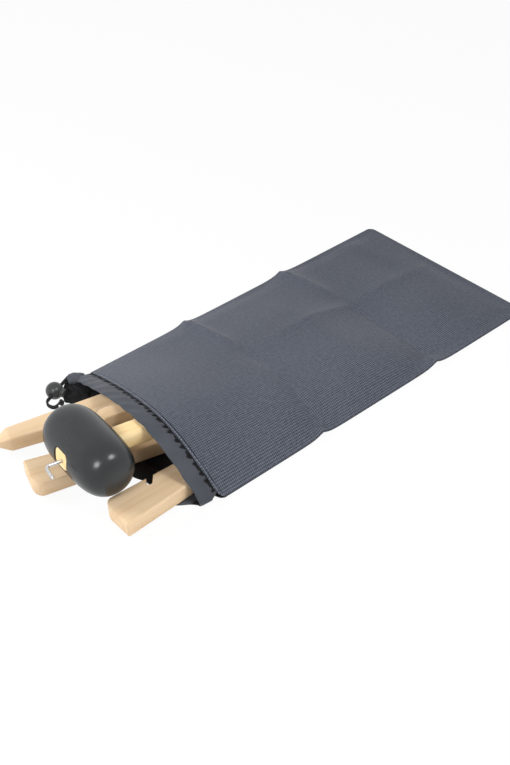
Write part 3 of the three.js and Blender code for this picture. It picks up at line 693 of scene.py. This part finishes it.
def creaseHeight(distance, height, width):
    # A pressed fold: steep at its line and fading away from it, with the line itself rounded
    crest = clothLook["foldRound"]
    return height * np.exp(-(np.sqrt(distance ** 2 + crest ** 2) - crest) / width)


def outlineDistance(x, y):
    # From a place on the panel to its nearest sewn edge
    return np.minimum(fromSeam(y), closedEndX(y) - x)


def foldAcross(x, y):
    # Each storage fold is a ridge on the left and sinks into a valley on the right, but for where
    # the handle holds the cloth up
    overHandle = np.exp(-((y - ridgeY(x)) / clothLook["heldWidth"]) ** 2) * (1 - smoothStep(x, 200, 240))
    held = 1 - clothLook["held"] * overHandle
    half = clothLook["turnWidth"]
    height = 0 * x
    for place, slant, tall, wide, turn in clothLook["creases"]:
        way = 2 * smoothStep(y, turn - half, turn + half) - 1
        height = height + way * held * creaseHeight(x - place - slant * y, tall, wide)
    return height


def upperRelief(x, y):
    # Storage folds across and along the bag, and the slow waves of cloth that was folded
    far = smoothStep(x, *clothLook["far"])
    spine, ripples = clothLook["spine"], clothLook["ripples"]
    aside = np.abs(y - spine["place"] - spine["slant"] * (x - 200))
    tent = spine["height"] * np.clip(1 - (aside / bagForm["halfWidth"]) ** spine["power"], 0, 1)
    tent = tent + creaseHeight(aside, spine["crisp"], spine["width"])
    closed = smoothStep(closedEndX(y) - x, 0, spine["end"])
    first, second, last = (height * np.sin(x / long + y / wide + phase)
                           for height, long, wide, phase in clothLook["waves"])
    waves = first + second + last * far
    near = np.exp(-((x - ripples["place"]) / ripples["width"]) ** 2) * smoothStep(y, *ripples["side"])
    rippled = ripples["height"] * np.sin(x / ripples["along"] + y / ripples["across"]) * near
    edge = outlineDistance(x, y)
    loft = clothLook["loft"] * smoothStep(x, *clothLook["loftStart"]) * smoothStep(edge, 3, 26)
    height = foldAcross(x, y) + clothLook["rest"] + clothLook["near"] * waves + far * closed * tent
    height = height + clothLook["farMore"] * far * waves + rippled + loft
    return height * smoothStep(edge, 0, clothLook["flatEdge"])


def spread(count):
    # Places from 0 to 1 that crowd towards the ends
    return (1 - np.cos(np.linspace(0, pi, count + 1))) / 2


def upperTop(x, y):
    raised = upperRelief(x, y) * smoothStep(x - upperMouthX(y), 0, 30)
    return clothUnderside(x, y) + bagForm["cloth"] + raised


def hemHeight(fromMouth):
    # The hem is cloth folded under: a round pad that stands proud of the band, with a groove
    # behind it where the two layers are sewn together
    pad = 1 - smoothStep(fromMouth, clothLook["hemWidth"] - 0.6, clothLook["hemWidth"] + 0.5)
    groove = clothLook["grooveDepth"] * np.exp(-((fromMouth - clothLook["groove"]) / 0.6) ** 2)
    return clothLook["hemHeight"] * pad - groove


def rolled(distance):
    # The fold at a sewn edge: a quarter circle
    radius = clothLook["roll"]
    into = np.clip(distance, 0, radius)
    return radius - np.sqrt(np.maximum(radius ** 2 - (radius - into) ** 2, 0))


def edgeLift(x, y):
    # Where a storage fold meets a side seam, both panels are lifted off the table together
    lift = 0 * x
    for place, slant, tall, wide, _ in clothLook["creases"]:
        lift = lift + creaseHeight(x - place - slant * y, tall, wide)
    return clothLook["edgeLift"] * lift * (1 - smoothStep(fromSeam(y), 0, 22))


def clothGrid(mouthX, columns, share):
    # Places from the mouth's line to the closed end, and how far each lies from the mouth
    across = bagForm["halfWidth"] * (2 * spread(columns) - 1)
    y = np.broadcast_to(across, (len(share), len(across)))
    mouth = mouthX(y)
    x = mouth + (closedEndX(y) - mouth) * share[:, None]
    return x, y, x - mouth


def addCloth(name, points, thickness, node):
    # The weave follows the cloth, from a corner outside it, and the coated side is inside the bag
    mesh = gridMesh(name, toRow(points), uv=(points[..., :2] + 200) / 1000)
    cloth = addPiece(name, mesh, [woven, coating], "bag", "woven_fabric", node)
    addWall(cloth, thickness, 1)
    return cloth


def makeUpperCloth():
    # The hem has many rows in a small share of the length, and the panel has the rest
    hem = clothLook["hemShare"]
    share = np.concatenate([np.linspace(0, hem, clothLook["hemRows"])[:-1],
                            hem + (1 - hem) * spread(clothLook["rows"])])
    x, y, fromMouth = clothGrid(lambda y: upperMouthX(y) + mouthEdge(y), clothLook["columns"], share)
    # A fold sinks no further than the panel below
    z = np.maximum(upperTop(x, y), bagForm["seamHeight"] + clothLook["leastGap"])
    pad = hemHeight(fromMouth) * smoothStep(fromSeam(y), 0.5, 6)
    z = z + pad + edgeLift(x, y) - rolled(outlineDistance(x, y)) - 0.8 * rolled(fromMouth)
    return addCloth("bagUpperCloth", xyz(x, y, z), clothLook["wall"], "bag_upper_panel")


def lowerEdgeX(y):
    # The lower panel reaches a little under the band, so that no light comes in at their seam
    return lowerMouthX(y) + mouthEdge(y) - sag(y) - 1.3 * smoothStep(fromSeam(y), 4, 12)


def makeLowerCloth():
    x, y, fromMouth = clothGrid(lowerEdgeX, clothLook["lowerColumns"], spread(clothLook["lowerRows"]))
    edge = np.minimum(outlineDistance(x, y), fromMouth)
    z = 0.05 + 0.55 * rolled(edge) + edgeLift(x, y)
    # Its columns run the other way, so that its faces point down
    return addCloth("bagLowerCloth", xyz(x, y, z)[:, ::-1], clothLook["lowerWall"], "bag_lower_panel")


upperCloth = makeUpperCloth()
lowerCloth = makeLowerCloth()
print("cloth made")


# The band round the mouth: a fabric tube that the cord gathers

bandForm = {
    "width": 18, "height": 3.3, "gap": 0.5, "upperInset": 6, "lowerInset": 3, "cornerInset": 6,
    "ring": 56, "arch": 480, "fold": 70, "lower": 300, "wall": 0.00035,
    "seam": -6.9, "tuckDepth": 2.1, "tuckReach": 3.0,  # where the gathers sit, and the edge under the hem
    "foldDark": 22, "ear": (3.8, -88.5), "leftRise": 1.8,
}
bandForm["middle"] = bandForm["gap"] + bandForm["width"] / 2


def archStations(share):
    # Over the arch from the left seam to the right corner, standing on the cloth's underside
    half = bagForm["halfWidth"]
    y = half - bandForm["upperInset"] + (bandForm["cornerInset"] - 2 * half + bandForm["upperInset"]) * share
    x = upperMouthX(y) - bandForm["middle"]
    step = bandForm["gap"]
    across = clothUnderside(x, y + step) - clothUnderside(x, y - step)
    along = clothUnderside(x + step, y) - clothUnderside(x - step, y)
    normal = unit(xyz(0 * y, -across, 2 * step))
    outward = xyz(-1, 0 * y, -along / (2 * step))
    point = xyz(x, y, clothUnderside(x, y)) + normal * bandForm["height"] / 2
    return point, normal, outward


def cornerForm():
    # The half turn at the right corner, tangent to the arch's end and to the lower band
    point, normal, outward = (value[0] for value in archStations(np.array([1.0])))
    angle = atan2(-normal[1], normal[2])
    radius = (point[2] - bandForm["height"] / 2) / (1 + cos(angle))
    return {"point": point, "angle": angle, "radius": radius, "y": point[1] + radius * sin(angle),
            "z": point[2] - radius * cos(angle), "rise": outward[2]}


corner = cornerForm()


def foldStations(share):
    # A half circle from the arch's end under to the lower band, which slides sideways on its way
    heading = pi + corner["angle"] + (pi - corner["angle"]) * share
    normal = xyz(0 * share, np.sin(heading), -np.cos(heading))
    endX = lowerMouthX(np.array(corner["y"])) - bandForm["middle"]
    x = corner["point"][0] + (endX - corner["point"][0]) * smoothStep(share, 0, 1)
    point = xyz(x, corner["y"], corner["z"]) + normal * corner["radius"]
    return point, normal, xyz(-1, 0, corner["rise"] * (1 - share))


def lowerStations(share, start):
    # Flat on the table, from the right corner to the left seam
    y = start + (bagForm["halfWidth"] - bandForm["lowerInset"] - start) * smoothStep(share, 0, 1)
    point = xyz(lowerMouthX(y) - bandForm["middle"], y, bandForm["height"] / 2)
    return point, xyz(0, 0 * y, -1), xyz(-1, 0 * y, 0)


def joined(*parts):
    return [np.concatenate(values) for values in zip(*parts)]


def gathers(along, across):
    # Puckers where the tube is gathered on its seam: three sets of waves at 6 to 15 mm, at their
    # deepest beside the seam and fading over the band
    turn = (along + 0.25 * across) * 2 * pi
    waves = np.sin(turn / 8.3 + 1.4 * np.sin(along / 21)) + 0.7 * np.sin(turn / 5.9 + 2)
    waves = waves + 0.5 * np.sin(along * 2 * pi / 14.7 + 0.6)
    return np.clip(0.5 + 0.36 * waves, 0, 1.2)


def bandMesh(name, point, normal, outward, tuck, lift=0.0):
    # A flat oval section; the gathers pull its seam side down, and lift raises its puckers
    angle = np.linspace(0, 2 * pi, bandForm["ring"], endpoint=False)[None, :]
    c, s = np.cos(angle), np.sin(angle)
    across = bandForm["width"] / 2 * np.sign(c) * np.abs(c) ** 0.75
    along = lengthsAlong(point)[:, None]
    seamSide = smoothStep(-across, 1.0, 8.0)
    pucker = gathers(along, across)
    pulled = pucker * np.exp(-((across - bandForm["seam"]) / 2.0) ** 2)
    up = bandForm["height"] / 2 * s * (1 - 0.5 * pulled) - 1.5 * pulled
    up = up + 0.22 * np.sin(along * 2 * pi / 19 + across / 3) * (1 - seamSide)
    up = up - lift * (0.5 + 0.5 * np.sin(along * 2 * pi / 11 + across / 5)) * (0.4 + 0.6 * seamSide)
    if tuck:
        # The sewn edge goes under the hem of the woven cloth
        under = smoothStep(-across, 6.5, 9.0)
        up = up * (1 - 0.85 * under) - bandForm["tuckDepth"] * under
        across = across - bandForm["tuckReach"] * under
    across = across + 0.35 * np.sin(along * 2 * pi / 23 + 1) * (1 - seamSide)
    points = point[:, None] + across[..., None] * outward[:, None] + up[..., None] * normal[:, None]
    around = np.linspace(0, 2 * bandForm["width"], bandForm["ring"] + 1)[None, :] + 0 * along
    uv = np.stack([np.broadcast_to(along, around.shape), around], -1) / 1000
    # Between the gathers a scalloped line along the seam takes the black coating: painted shade for the gaps
    # under the hem
    edge = (across + 7.9 - 3.9 * pucker < 0)[:-1]
    return gridMesh(name, toRow(points), wrap=True, uv=uv), edge


def addBand(name, mesh, materials, *nodes):
    band = addPiece(name, mesh, materials, "bag", "band_fabric", *nodes)
    addWall(band, bandForm["wall"])
    return band


def makeUpperBand():
    # Over the arch and round the fold at the right corner
    turn = np.linspace(0, 1, bandForm["fold"])[1:]
    stations = joined(archStations(np.linspace(0, 1, bandForm["arch"])), foldStations(turn))
    mesh, black = bandMesh("mouthBandUpper", *stations, True)
    band = addBand("mouthBandUpper", mesh, [lining, coating], "upper_mouth_channel")
    # In the fold only the last part, inside the mouth, is in the dark
    black[bandForm["arch"]:] = False
    black[-bandForm["foldDark"]:] = True
    # black holds painted shade: the scalloped seam line and the dark end of the fold
    paint(mesh, black)
    return band


def faceValues(mesh, kind):
    values = np.zeros(len(mesh.polygons) * 3)
    mesh.polygons.foreach_get(kind, values)
    return values.reshape(-1, 3)


def makeLowerBand():
    # Along the lower lip: its middle sags a little further out, and its left end is bunched up
    point, normal, outward = lowerStations(np.linspace(0, 1, bandForm["lower"]), corner["y"] + 0.3)
    y = point[:, 1]
    point[:, 0] -= sag(y)
    rise = (bandForm["leftRise"] * smoothStep(y, 70, 104))[:, None]
    mesh, _ = bandMesh("mouthBandLower", point, normal, outward, False, rise)
    band = addBand("mouthBandLower", mesh, [lining, coating], "lower_mouth_channel")
    # Its upper side is the inside of the bag, coated black, but for the ear at the right corner,
    # where the band is turned over
    place = faceValues(mesh, "center")[:, 1] * 1000
    earStart, earEnd = corner["y"] + bandForm["ear"][0], bandForm["ear"][1]
    ear = (place > earStart) & (place < earEnd)
    paint(mesh, (faceValues(mesh, "normal")[:, 2] > 0.1) & ~ear)
    return band


pouchForm = {
    # the gathered end of the band, closed round both strands: the way out in degrees and how far
    # the outline is that way, in the plane of the table
    "middle": (-7.0, 108.4), "height": 5.3, "rise": 2.3, "half": 2.7, "swell": 1.0, "pleat": 0.55,
    "outline": [(0, 10.4), (40, 8.8), (72, 7.7), (92, 7.3), (125, 7.6), (150, 8.8), (170, 9.9), (190, 10.6),
                (212, 10.4), (240, 8.6), (270, 7.6), (300, 8.4), (330, 9.8), (360, 10.4)],
}


def roundOutline(outline, angle):
    # A closed smooth curve through the outline's points
    at = np.array([value for value, _ in outline], float)
    out = np.array([value for _, value in outline], float)
    wide = np.concatenate([at - 360, at[1:], at[1:] + 360])
    far = np.concatenate([out, out[1:], out[1:]])
    return sum(np.interp(angle + shift, wide, far) for shift in (0, -14, -7, 7, 14)) / 5


def makePouch():
    # A pillow: round boxy sections over the outline, low by the band and higher where the strands
    # come out, with pleats that run from there
    form = pouchForm
    lean = np.linspace(0, pi, 41)[:, None]
    angle = np.linspace(0, 360, 97)[None, :-1]
    turn = np.radians(angle)
    pleat = 0.5 * np.sin(7 * turn + 0.8) + 0.3 * np.sin(12 * turn + 2)
    out = roundOutline(form["outline"], angle) * np.sin(lean) ** 0.55 * (1 + 0.05 * pleat * np.sin(lean))
    x = form["middle"][0] + out * np.cos(turn)
    y = form["middle"][1] + out * np.sin(turn)
    far = smoothStep(-x, 1, 15)
    half = form["half"] + form["swell"] * far + form["pleat"] * pleat * np.sin(lean) ** 0.5
    z = form["height"] + form["rise"] * far + half * np.sign(np.cos(lean)) * np.abs(np.cos(lean)) ** 0.8
    around = np.linspace(0, 40, 97)[None, :] + 0 * lean
    uv = np.stack([np.broadcast_to(lean * 8, around.shape), around], -1) / 1000
    mesh = gridMesh("bandPouch", toRow(xyz(x, y, z)), wrap=True, uv=uv)
    piece = addBand("bandPouch", mesh, [lining, coating])
    # The open end, where the strands come out, takes the black coating: painted shade for the dark inside it
    paint(mesh, (np.abs(angle - 172) < 17) & (np.abs(lean[:-1] - 1.6) < 0.62))
    return piece


fanForm = {
    # the bunched cloth between the strands' way out and the lower band: how far it reaches at each
    # angle, how high its edge and pleats are, and the room that it leaves below the lock
    "middle": (-14.5, 109.6, 6.2), "low": 1.1, "pleat": 1.5, "edge": 1.0, "room": 0.8,
    "reach": [(196, 9.5), (206, 11.5), (221, 20), (232, 27), (243, 29.5), (260, 30), (292, 26), (334, 16)],
}


def underLock(x, y):
    # How high the cloth may lie below the lock, wherever the lock is on its way: under a sphere
    # and, towards the button, under a round bar
    form = lockForm
    centre = np.array(form["place"])
    way = form["slide"] * np.array([cos(form["yaw"]), sin(form["yaw"])])
    button = np.array([sin(form["yaw"]), -cos(form["yaw"])])
    highest = 99 + 0 * x
    for share in np.linspace(0, 1, 6):
        east, north = x - centre[0] - way[0] * share, y - centre[1] - way[1] * share
        along = np.clip(east * button[0] + north * button[1], 0, -form["tip"])
        fromBar = np.hypot(east - along * button[0], north - along * button[1])
        for distance, radius in ((np.hypot(east, north), form["radius"]), (fromBar, form["bore"])):
            below = centre[2] - np.sqrt(np.maximum(radius ** 2 - distance ** 2, 0)) - fanForm["room"]
            highest = np.where(distance < radius, np.minimum(highest, below), highest)
    return highest


def makeFan():
    # A fan of pleats that falls from the strands to the table: each pleat is one sine round the
    # fan, and grows outwards
    form = fanForm
    share = np.linspace(0, 1, 60)[:, None]
    angle, far = zip(*form["reach"])
    reach = np.interp(np.linspace(angle[0], angle[-1], 150), angle, far)[None, :]
    turn = np.radians(np.linspace(angle[0], angle[-1], 150))[None, :]
    pleat = np.sin(turn * 15 + 1.6 * np.sin(share * 5 + 0.5)) + 0.4 * np.sin(turn * 31 + 4)
    out = reach * share * (1 + 0.03 * pleat)
    x = form["middle"][0] + out * np.cos(turn)
    y = form["middle"][1] + out * np.sin(turn)
    z = form["low"] + (form["middle"][2] - form["low"]) * (1 - share) ** 0.55
    raised = form["pleat"] * np.sin(pi * share) * (0.5 + 0.5 * pleat)
    z = z + raised + form["edge"] * share * (1 - share ** 6)
    z = np.minimum(z, np.maximum(underLock(x, y), 0.4))
    uv = np.stack([out, reach * share * turn], -1) / 1000
    return addBand("mouthGather", gridMesh("mouthGather", toRow(xyz(x, y, z)), uv=uv), [coating])


def makeDrawcord():
    # The cord inside the band, from the upper strand round the corner to the lower one
    arch = archStations(np.linspace(0, 1, 200))[0]
    fold = foldStations(np.linspace(0, 1, 30)[1:])[0]
    lower = lowerStations(np.linspace(0, 1, 120)[1:], corner["y"])[0]
    route = toRow(np.concatenate([arch, fold, lower]))
    mesh = tubeMesh("drawcordInBand", route, cordForm["diameter"] / 2000, 10, 320, (1, 0, 0))
    return addPiece("drawcordInBand", mesh, [braided], "bag", "cord_black", "drawcord")

upperBand = makeUpperBand()
lowerBand = makeLowerBand()
pouch = makePouch()
gather = makeFan()
makeDrawcord()
print("band and drawcord made")


# Stitches along the hem

stitchForm = {"pitch": 3.1, "length": 2.4, "radius": 0.3, "lift": 0.25, "reach": 104, "sides": 6}
threadMaterial = smoothPolyester("polyester_thread", "#7d828c", "#999ea8", 0.7)


def makeStitches():
    # One small spindle for each stitch, laid along the line beside the hem's edge
    form = stitchForm
    y = np.linspace(-form["reach"], form["reach"], 1200)
    x = upperMouthX(y) + mouthEdge(y) + clothLook["stitchLine"]
    line = xyz(x, y, upperTop(x, y) + hemHeight(clothLook["stitchLine"]) + form["lift"])
    count = int(lengthsAlong(line)[-1] / form["pitch"])
    centres = evenly(line, count)
    way = unit(np.gradient(centres, axis=0))
    across = unit(np.cross(way, [0, 0, 1.0]))
    up = np.cross(across, way)
    share = np.linspace(-1, 1, form["sides"])
    swell = form["radius"] * np.sqrt(np.maximum(1 - share ** 2, 0))[:, None]
    angle = np.linspace(0, 2 * pi, form["sides"], endpoint=False)
    along = (share * form["length"] / 2)[:, None] + 0 * angle
    points = centres[:, None, None] + sum(
        out[None, ..., None] * side[:, None, None]
        for out, side in ((along, way), (swell * np.cos(angle), across), (swell * np.sin(angle), up)))
    number = np.arange(count * form["sides"] ** 2).reshape(count, form["sides"], form["sides"])
    number = np.concatenate([number, number[:, :, :1]], axis=2)
    mesh = quadMesh("hemStitches", toRow(points), corners(number))
    closeMesh(mesh)
    shadeSmooth(mesh)
    return addPiece("hemStitches", mesh, [threadMaterial], "bag", "woven_fabric")


stitches = makeStitches()
print("stitches made")


# The mallet

def malletToRow(points):
    turn = turned(malletForm["yaw"], malletForm["tilt"])
    return toRow(points @ turn.T + np.array([malletForm["x"], malletForm["y"], malletForm["z"]]))


def makeHead():
    # A superellipse turned round its long axis: cosine and sine raised to 2 / power
    form = malletForm
    angle = np.linspace(-pi / 2, pi / 2, 121)
    power = 2 / form["power"]
    out = form["headDiameter"] / 2 * np.abs(np.cos(angle)) ** power
    along = form["headLength"] / 2 * np.sign(angle) * np.abs(np.sin(angle)) ** power
    out[[0, -1]] = 0
    head = solidMesh("head", malletToRow(lathe(np.stack([out, along], -1), 144)))
    gap, half = 0.3, form["headDiameter"] / 2 + 4
    high = np.array([half, form["width"] / 2 + gap, form["height"] / 2 + gap])
    hole = solidMesh("hole", malletToRow(roundedBox(-high, high, form["corner"] + gap, 9)))
    return addPiece("malletHead", carve(head, hole), [rubber], "mallet", "black_rubber", "mallet_head")


def makeHandle(material):
    # A rounded rectangle carried along X, drawn in by a quarter circle at both ends
    form = malletForm
    high = np.array([0, form["width"] / 2, form["height"] / 2])
    ring = roundedBox(-high, high, form["corner"], 9)[1]
    edge = form["endRound"]
    quarter = np.linspace(0, pi / 2, 6)
    drawnIn = 1 - edge * (1 - np.sin(quarter)) / (form["height"] / 2)
    ends = edge * (1 - np.cos(quarter))
    straight = np.linspace(edge, form["length"] - edge, 40)[1:-1]
    stations = np.concatenate([[0], ends, straight, form["length"] - ends[::-1], [form["length"]]])
    shares = np.concatenate([[0], drawnIn, np.ones(len(straight)), drawnIn[::-1], [0]])
    points = ring[None] * shares[:, None, None]
    points[..., 0] = (stations - form["front"])[:, None]
    mesh = solidMesh("handle", malletToRow(points))
    # The hook's bore, a little wider and deeper than its wire
    gap, before = 0.3, -4
    radius, floor = form["wire"] / 2 + gap, form["seat"] + gap
    seat = np.array([[0, before], [radius, before], [radius, floor], [0, floor]])
    bore = lathe(seat, 32)[..., [1, 0, 2]] - np.array([form["front"], form["aside"], 0])
    return addPiece("malletHandle", carve(mesh, solidMesh("bore", malletToRow(bore))), [material],
                    "mallet", "handle_wood", "mallet_handle")


def makeHook():
    # Round wire: straight out of the handle, then bent down into a leg that leans back
    form = malletForm
    leg = np.array([0, -sin(form["lean"]), -cos(form["lean"])])
    bend = np.array([-form["front"] - form["reach"], -form["aside"], 0])
    start = np.array([form["seat"] - form["front"], -form["aside"], 0])
    share = np.linspace(0, 1, 24)[:, None]
    before, after = bend + np.array([4, 0, 0]), bend + 4 * leg
    # The bend is a quadratic curve from one straight to the other
    turn = (1 - share) ** 2 * before + 2 * share * (1 - share) * bend + share ** 2 * after
    line = malletToRow(np.vstack([start, turn, bend + form["leg"] * leg]))
    reference = turned(form["yaw"]) @ np.array([0.0, cos(form["lean"]), -sin(form["lean"])])
    mesh = tubeMesh("hook", line, form["wire"] / 2000, 20, 90, reference)
    return addPiece("malletHook", mesh, [zincSteel], "mallet", "hook_steel", "mallet_hook")


malletPlace = tuple(toRow([malletForm["x"], malletForm["y"], malletForm["z"]]))
malletTurn = (0, malletForm["tilt"], malletForm["yaw"])
makeHead()
makeHandle(sawnWood("sanded_handle_wood", handleLook, malletPlace, malletTurn))
makeHook()
print("mallet made")


# The tent pegs

pegForm = {
    "length": 200, "head": 37, "tip": 18, "thick": 15, "point": 16, "blunt": 2.4,
    "cornerLength": 9, "cornerWidth": 15, "round": 1.7, "above": 3.6,
    "notchAt": 48.3, "notchWidth": 6, "notchDepth": 11, "notchLean": radians(40),
}
pegForm["shoulder"] = pegForm["length"] - pegForm["point"]
pegForm["taper"] = atan2((pegForm["head"] - pegForm["tip"]) / 2, pegForm["shoulder"])
pegPlaces = {
    # its node and body, the middle of its head end, its turn, the side with the notch, and whether
    # it stands on its edge
    "pegLeft": ("peg_left", "left_peg", (74.2, 23.1), radians(165), 1, False),
    "pegUnderMallet": ("peg_under_mallet", "under_peg", (-118, 13.3), radians(-17), -1, False),
    "pegRight": ("peg_right", "right_peg", (-90.3, -76.3), 0.0, 1, False),
    "pegOnEdge": ("peg_on_edge", "edge_peg", (-43.6, 14.3), radians(-9.5), 1, True),
}


def pegHalfWidth(x):
    return np.interp(x, [0, pegForm["shoulder"], pegForm["length"]],
                     [pegForm["head"] / 2, pegForm["tip"] / 2, pegForm["blunt"] / 2])


def plankRings(x, low, high, half, radius, sides=7):
    # At each place along X, a rounded rectangle in Y and Z: four quarter circles set in its corners
    quarter = np.linspace(0, pi / 2, sides)
    rows = []
    for turn, (wayY, wayZ) in enumerate([(1, 1), (-1, 1), (-1, -1), (1, -1)]):
        angle = quarter + turn * pi / 2
        middleY = (high if wayY > 0 else low) - wayY * radius
        middleZ = wayZ * half - wayZ * radius
        rows.append(xyz(x[:, None], middleY[:, None] + radius[:, None] * np.cos(angle),
                        middleZ[:, None] + radius[:, None] * np.sin(angle)))
    return np.concatenate(rows, axis=1)


def pegRings():
    form = pegForm
    edge = form["round"]
    x = np.concatenate([edge * (1 - np.cos(np.linspace(0, pi / 2, 7))),
                        np.linspace(edge, form["cornerLength"], 14)[1:],
                        np.linspace(form["cornerLength"], form["shoulder"] - 2, 60)[1:],
                        np.linspace(form["shoulder"] - 2, form["length"], 24)[1:]])
    half = pegHalfWidth(x)
    # The corner beside the notch is a quarter of an ellipse
    into = np.clip((form["cornerLength"] - x) / form["cornerLength"], 0, 1)
    high = half - form["cornerWidth"] * (1 - np.sqrt(1 - into ** 2))
    thick = np.interp(x, [0, form["shoulder"], form["length"]],
                      [form["thick"] / 2, form["thick"] / 2, form["blunt"] / 2])
    inset = edge - np.sqrt(edge ** 2 - np.clip(edge - x, 0, edge) ** 2)
    low, high, thick = inset - half, high - inset, thick - inset
    radius = np.minimum(edge, 0.45 * np.minimum(thick * 2, high - low))
    rings = plankRings(x, low, high, thick, radius)
    middles = rings.mean(1, keepdims=True) + 0 * rings
    return np.concatenate([middles[:1], rings, middles[-1:]])


def notchCutter():
    # A slot with a round floor, carried through the plank
    form = pegForm
    half = form["notchWidth"] / 2
    angle = np.linspace(pi, 2 * pi, 17)
    floor = np.stack([half * np.cos(angle), half * np.sin(angle) + half - form["notchDepth"]], -1)
    ring = np.vstack([floor, [[half, 5], [-half, 5]]])
    c, s = cos(-form["notchLean"]), sin(-form["notchLean"])
    ring = ring @ np.array([[c, -s], [s, c]]).T + [form["notchAt"], pegHalfWidth(form["notchAt"])]
    middle = ring.mean(0)
    deep = form["thick"] / 2 + 3
    return np.stack([np.column_stack([middle + (ring - middle) * share, np.full(len(ring), z)])
                     for z, share in [(-deep, 0), (-deep, 1), (deep, 1), (deep, 0)]])


def placedPeg(points, place, yaw, side, standing):
    # The notch side is turned over, then the peg is set on its edge and leans back by its own taper
    form = pegForm
    points = points * [1, side, side]
    lift = form["thick"] / 2
    if standing:
        points = points @ np.array([[1, 0, 0], [0, 0, -1], [0, 1, 0]]).T
        points = points @ turned(0, form["taper"]).T
        lift = form["head"] / 2 * cos(form["taper"])
    return toRow(points @ turned(yaw).T + np.array([place[0], place[1], form["above"] + lift]))


def makePeg(name, node, body, place, yaw, side, standing):
    def placed(points):
        return placedPeg(points, place, yaw, side, standing)

    middle = tuple(placed(np.zeros((1, 3)))[0])
    turn = (pi / 2 * side, pegForm["taper"], yaw) if standing else (0, 0, yaw)
    wood = sawnWood("sanded_beech_of_" + node, pegLook, middle, turn)
    mesh = carve(solidMesh(name, placed(pegRings())), solidMesh("notch", placed(notchCutter())))
    return addPiece(name, mesh, [wood], body, "peg_wood", node)


for name, values in pegPlaces.items():
    makePeg(name, *values)
print("pegs made")


# Floor, light and background

stageLook = {
    "floor": "#fafafa", "half": 6.0, "below": -0.0003, "glow": 0.93, "world": 0.26,
    "lamps": [
        # name, place, aim, width, power, and whether the shiny pieces mirror it: a low wide one
        # behind the left side brings out the folds, two in front shine on the rubber, and a fill
        # lights the sides that face the camera
        ("leftBack", (-0.85, 0.85, 0.8), (-0.05, 0, 0), 0.5, 14, False),
        ("softLeft", (-0.64, -0.24, 0.52), (-0.22, -0.05, 0.05), 0.21, 1.65, True),
        ("softRight", (0.01, -0.4, 0.61), (-0.22, -0.05, 0.05), 0.21, 1.65, True),
        ("frontFill", (0.3, -1.3, 0.75), (-0.1, 0, 0), 1.0, 7, False),
    ],
}


def whiteToEye(tree):
    # 1 for rays that show the background: seen by the camera, in a mirror or through glass
    rays = addNode(tree, "LightPath").node.outputs
    seen = addNode(tree, "Math", rays["Is Camera Ray"], rays["Is Glossy Ray"], operation="MAXIMUM")
    return addNode(tree, "Math", seen, rays["Is Transmission Ray"], operation="MAXIMUM")


def makeFloor(look):
    half, below = look["half"], look["below"]
    mesh = gridMesh("floor", np.array([[[x, y, below] for y in (-half, half)] for x in (-half, half)]))
    floor = bpy.data.objects.new("floor", mesh)
    scene.collection.objects.link(floor)
    material, tree = newMaterial("pale_paper", {"Base Color": linear(look["floor"]), "Roughness": 0.9})
    glow = addNode(tree, "Emission", Color=(1, 1, 1, 1), Strength=1)
    share = addNode(tree, "Math", whiteToEye(tree), look["glow"], operation="MULTIPLY")
    paper = tree.nodes["Principled BSDF"].outputs[0]
    mix = addNode(tree, "MixShader", share, paper, glow)
    tree.links.new(mix, tree.nodes["Material Output"].inputs["Surface"])
    mesh.materials.append(material)


def makeWorld(look):
    world = bpy.data.worlds.new("studio")
    scene.world = world
    world.use_nodes = True
    tree = world.node_tree
    light = tree.nodes["Background"]
    light.inputs["Color"].default_value = (1, 1, 1, 1)
    light.inputs["Strength"].default_value = look["world"]
    eye = addNode(tree, "Background", Color=(1, 1, 1, 1), Strength=1)
    mix = addNode(tree, "MixShader", whiteToEye(tree), light.outputs[0], eye)
    tree.links.new(mix, tree.nodes["World Output"].inputs["Surface"])


def makeLamp(name, place, aim, width, power, mirrored):
    lamp = bpy.data.lights.new(name, "AREA")
    lamp.energy, lamp.size = power, width
    body = bpy.data.objects.new(name, lamp)
    body.location = place
    body.visible_glossy = mirrored
    body.rotation_euler = (Vector(aim) - Vector(place)).to_track_quat("-Z", "Y").to_euler()
    scene.collection.objects.link(body)


makeFloor(stageLook)
makeWorld(stageLook)
for lampValues in stageLook["lamps"]:
    makeLamp(*lampValues)
print("stage made")
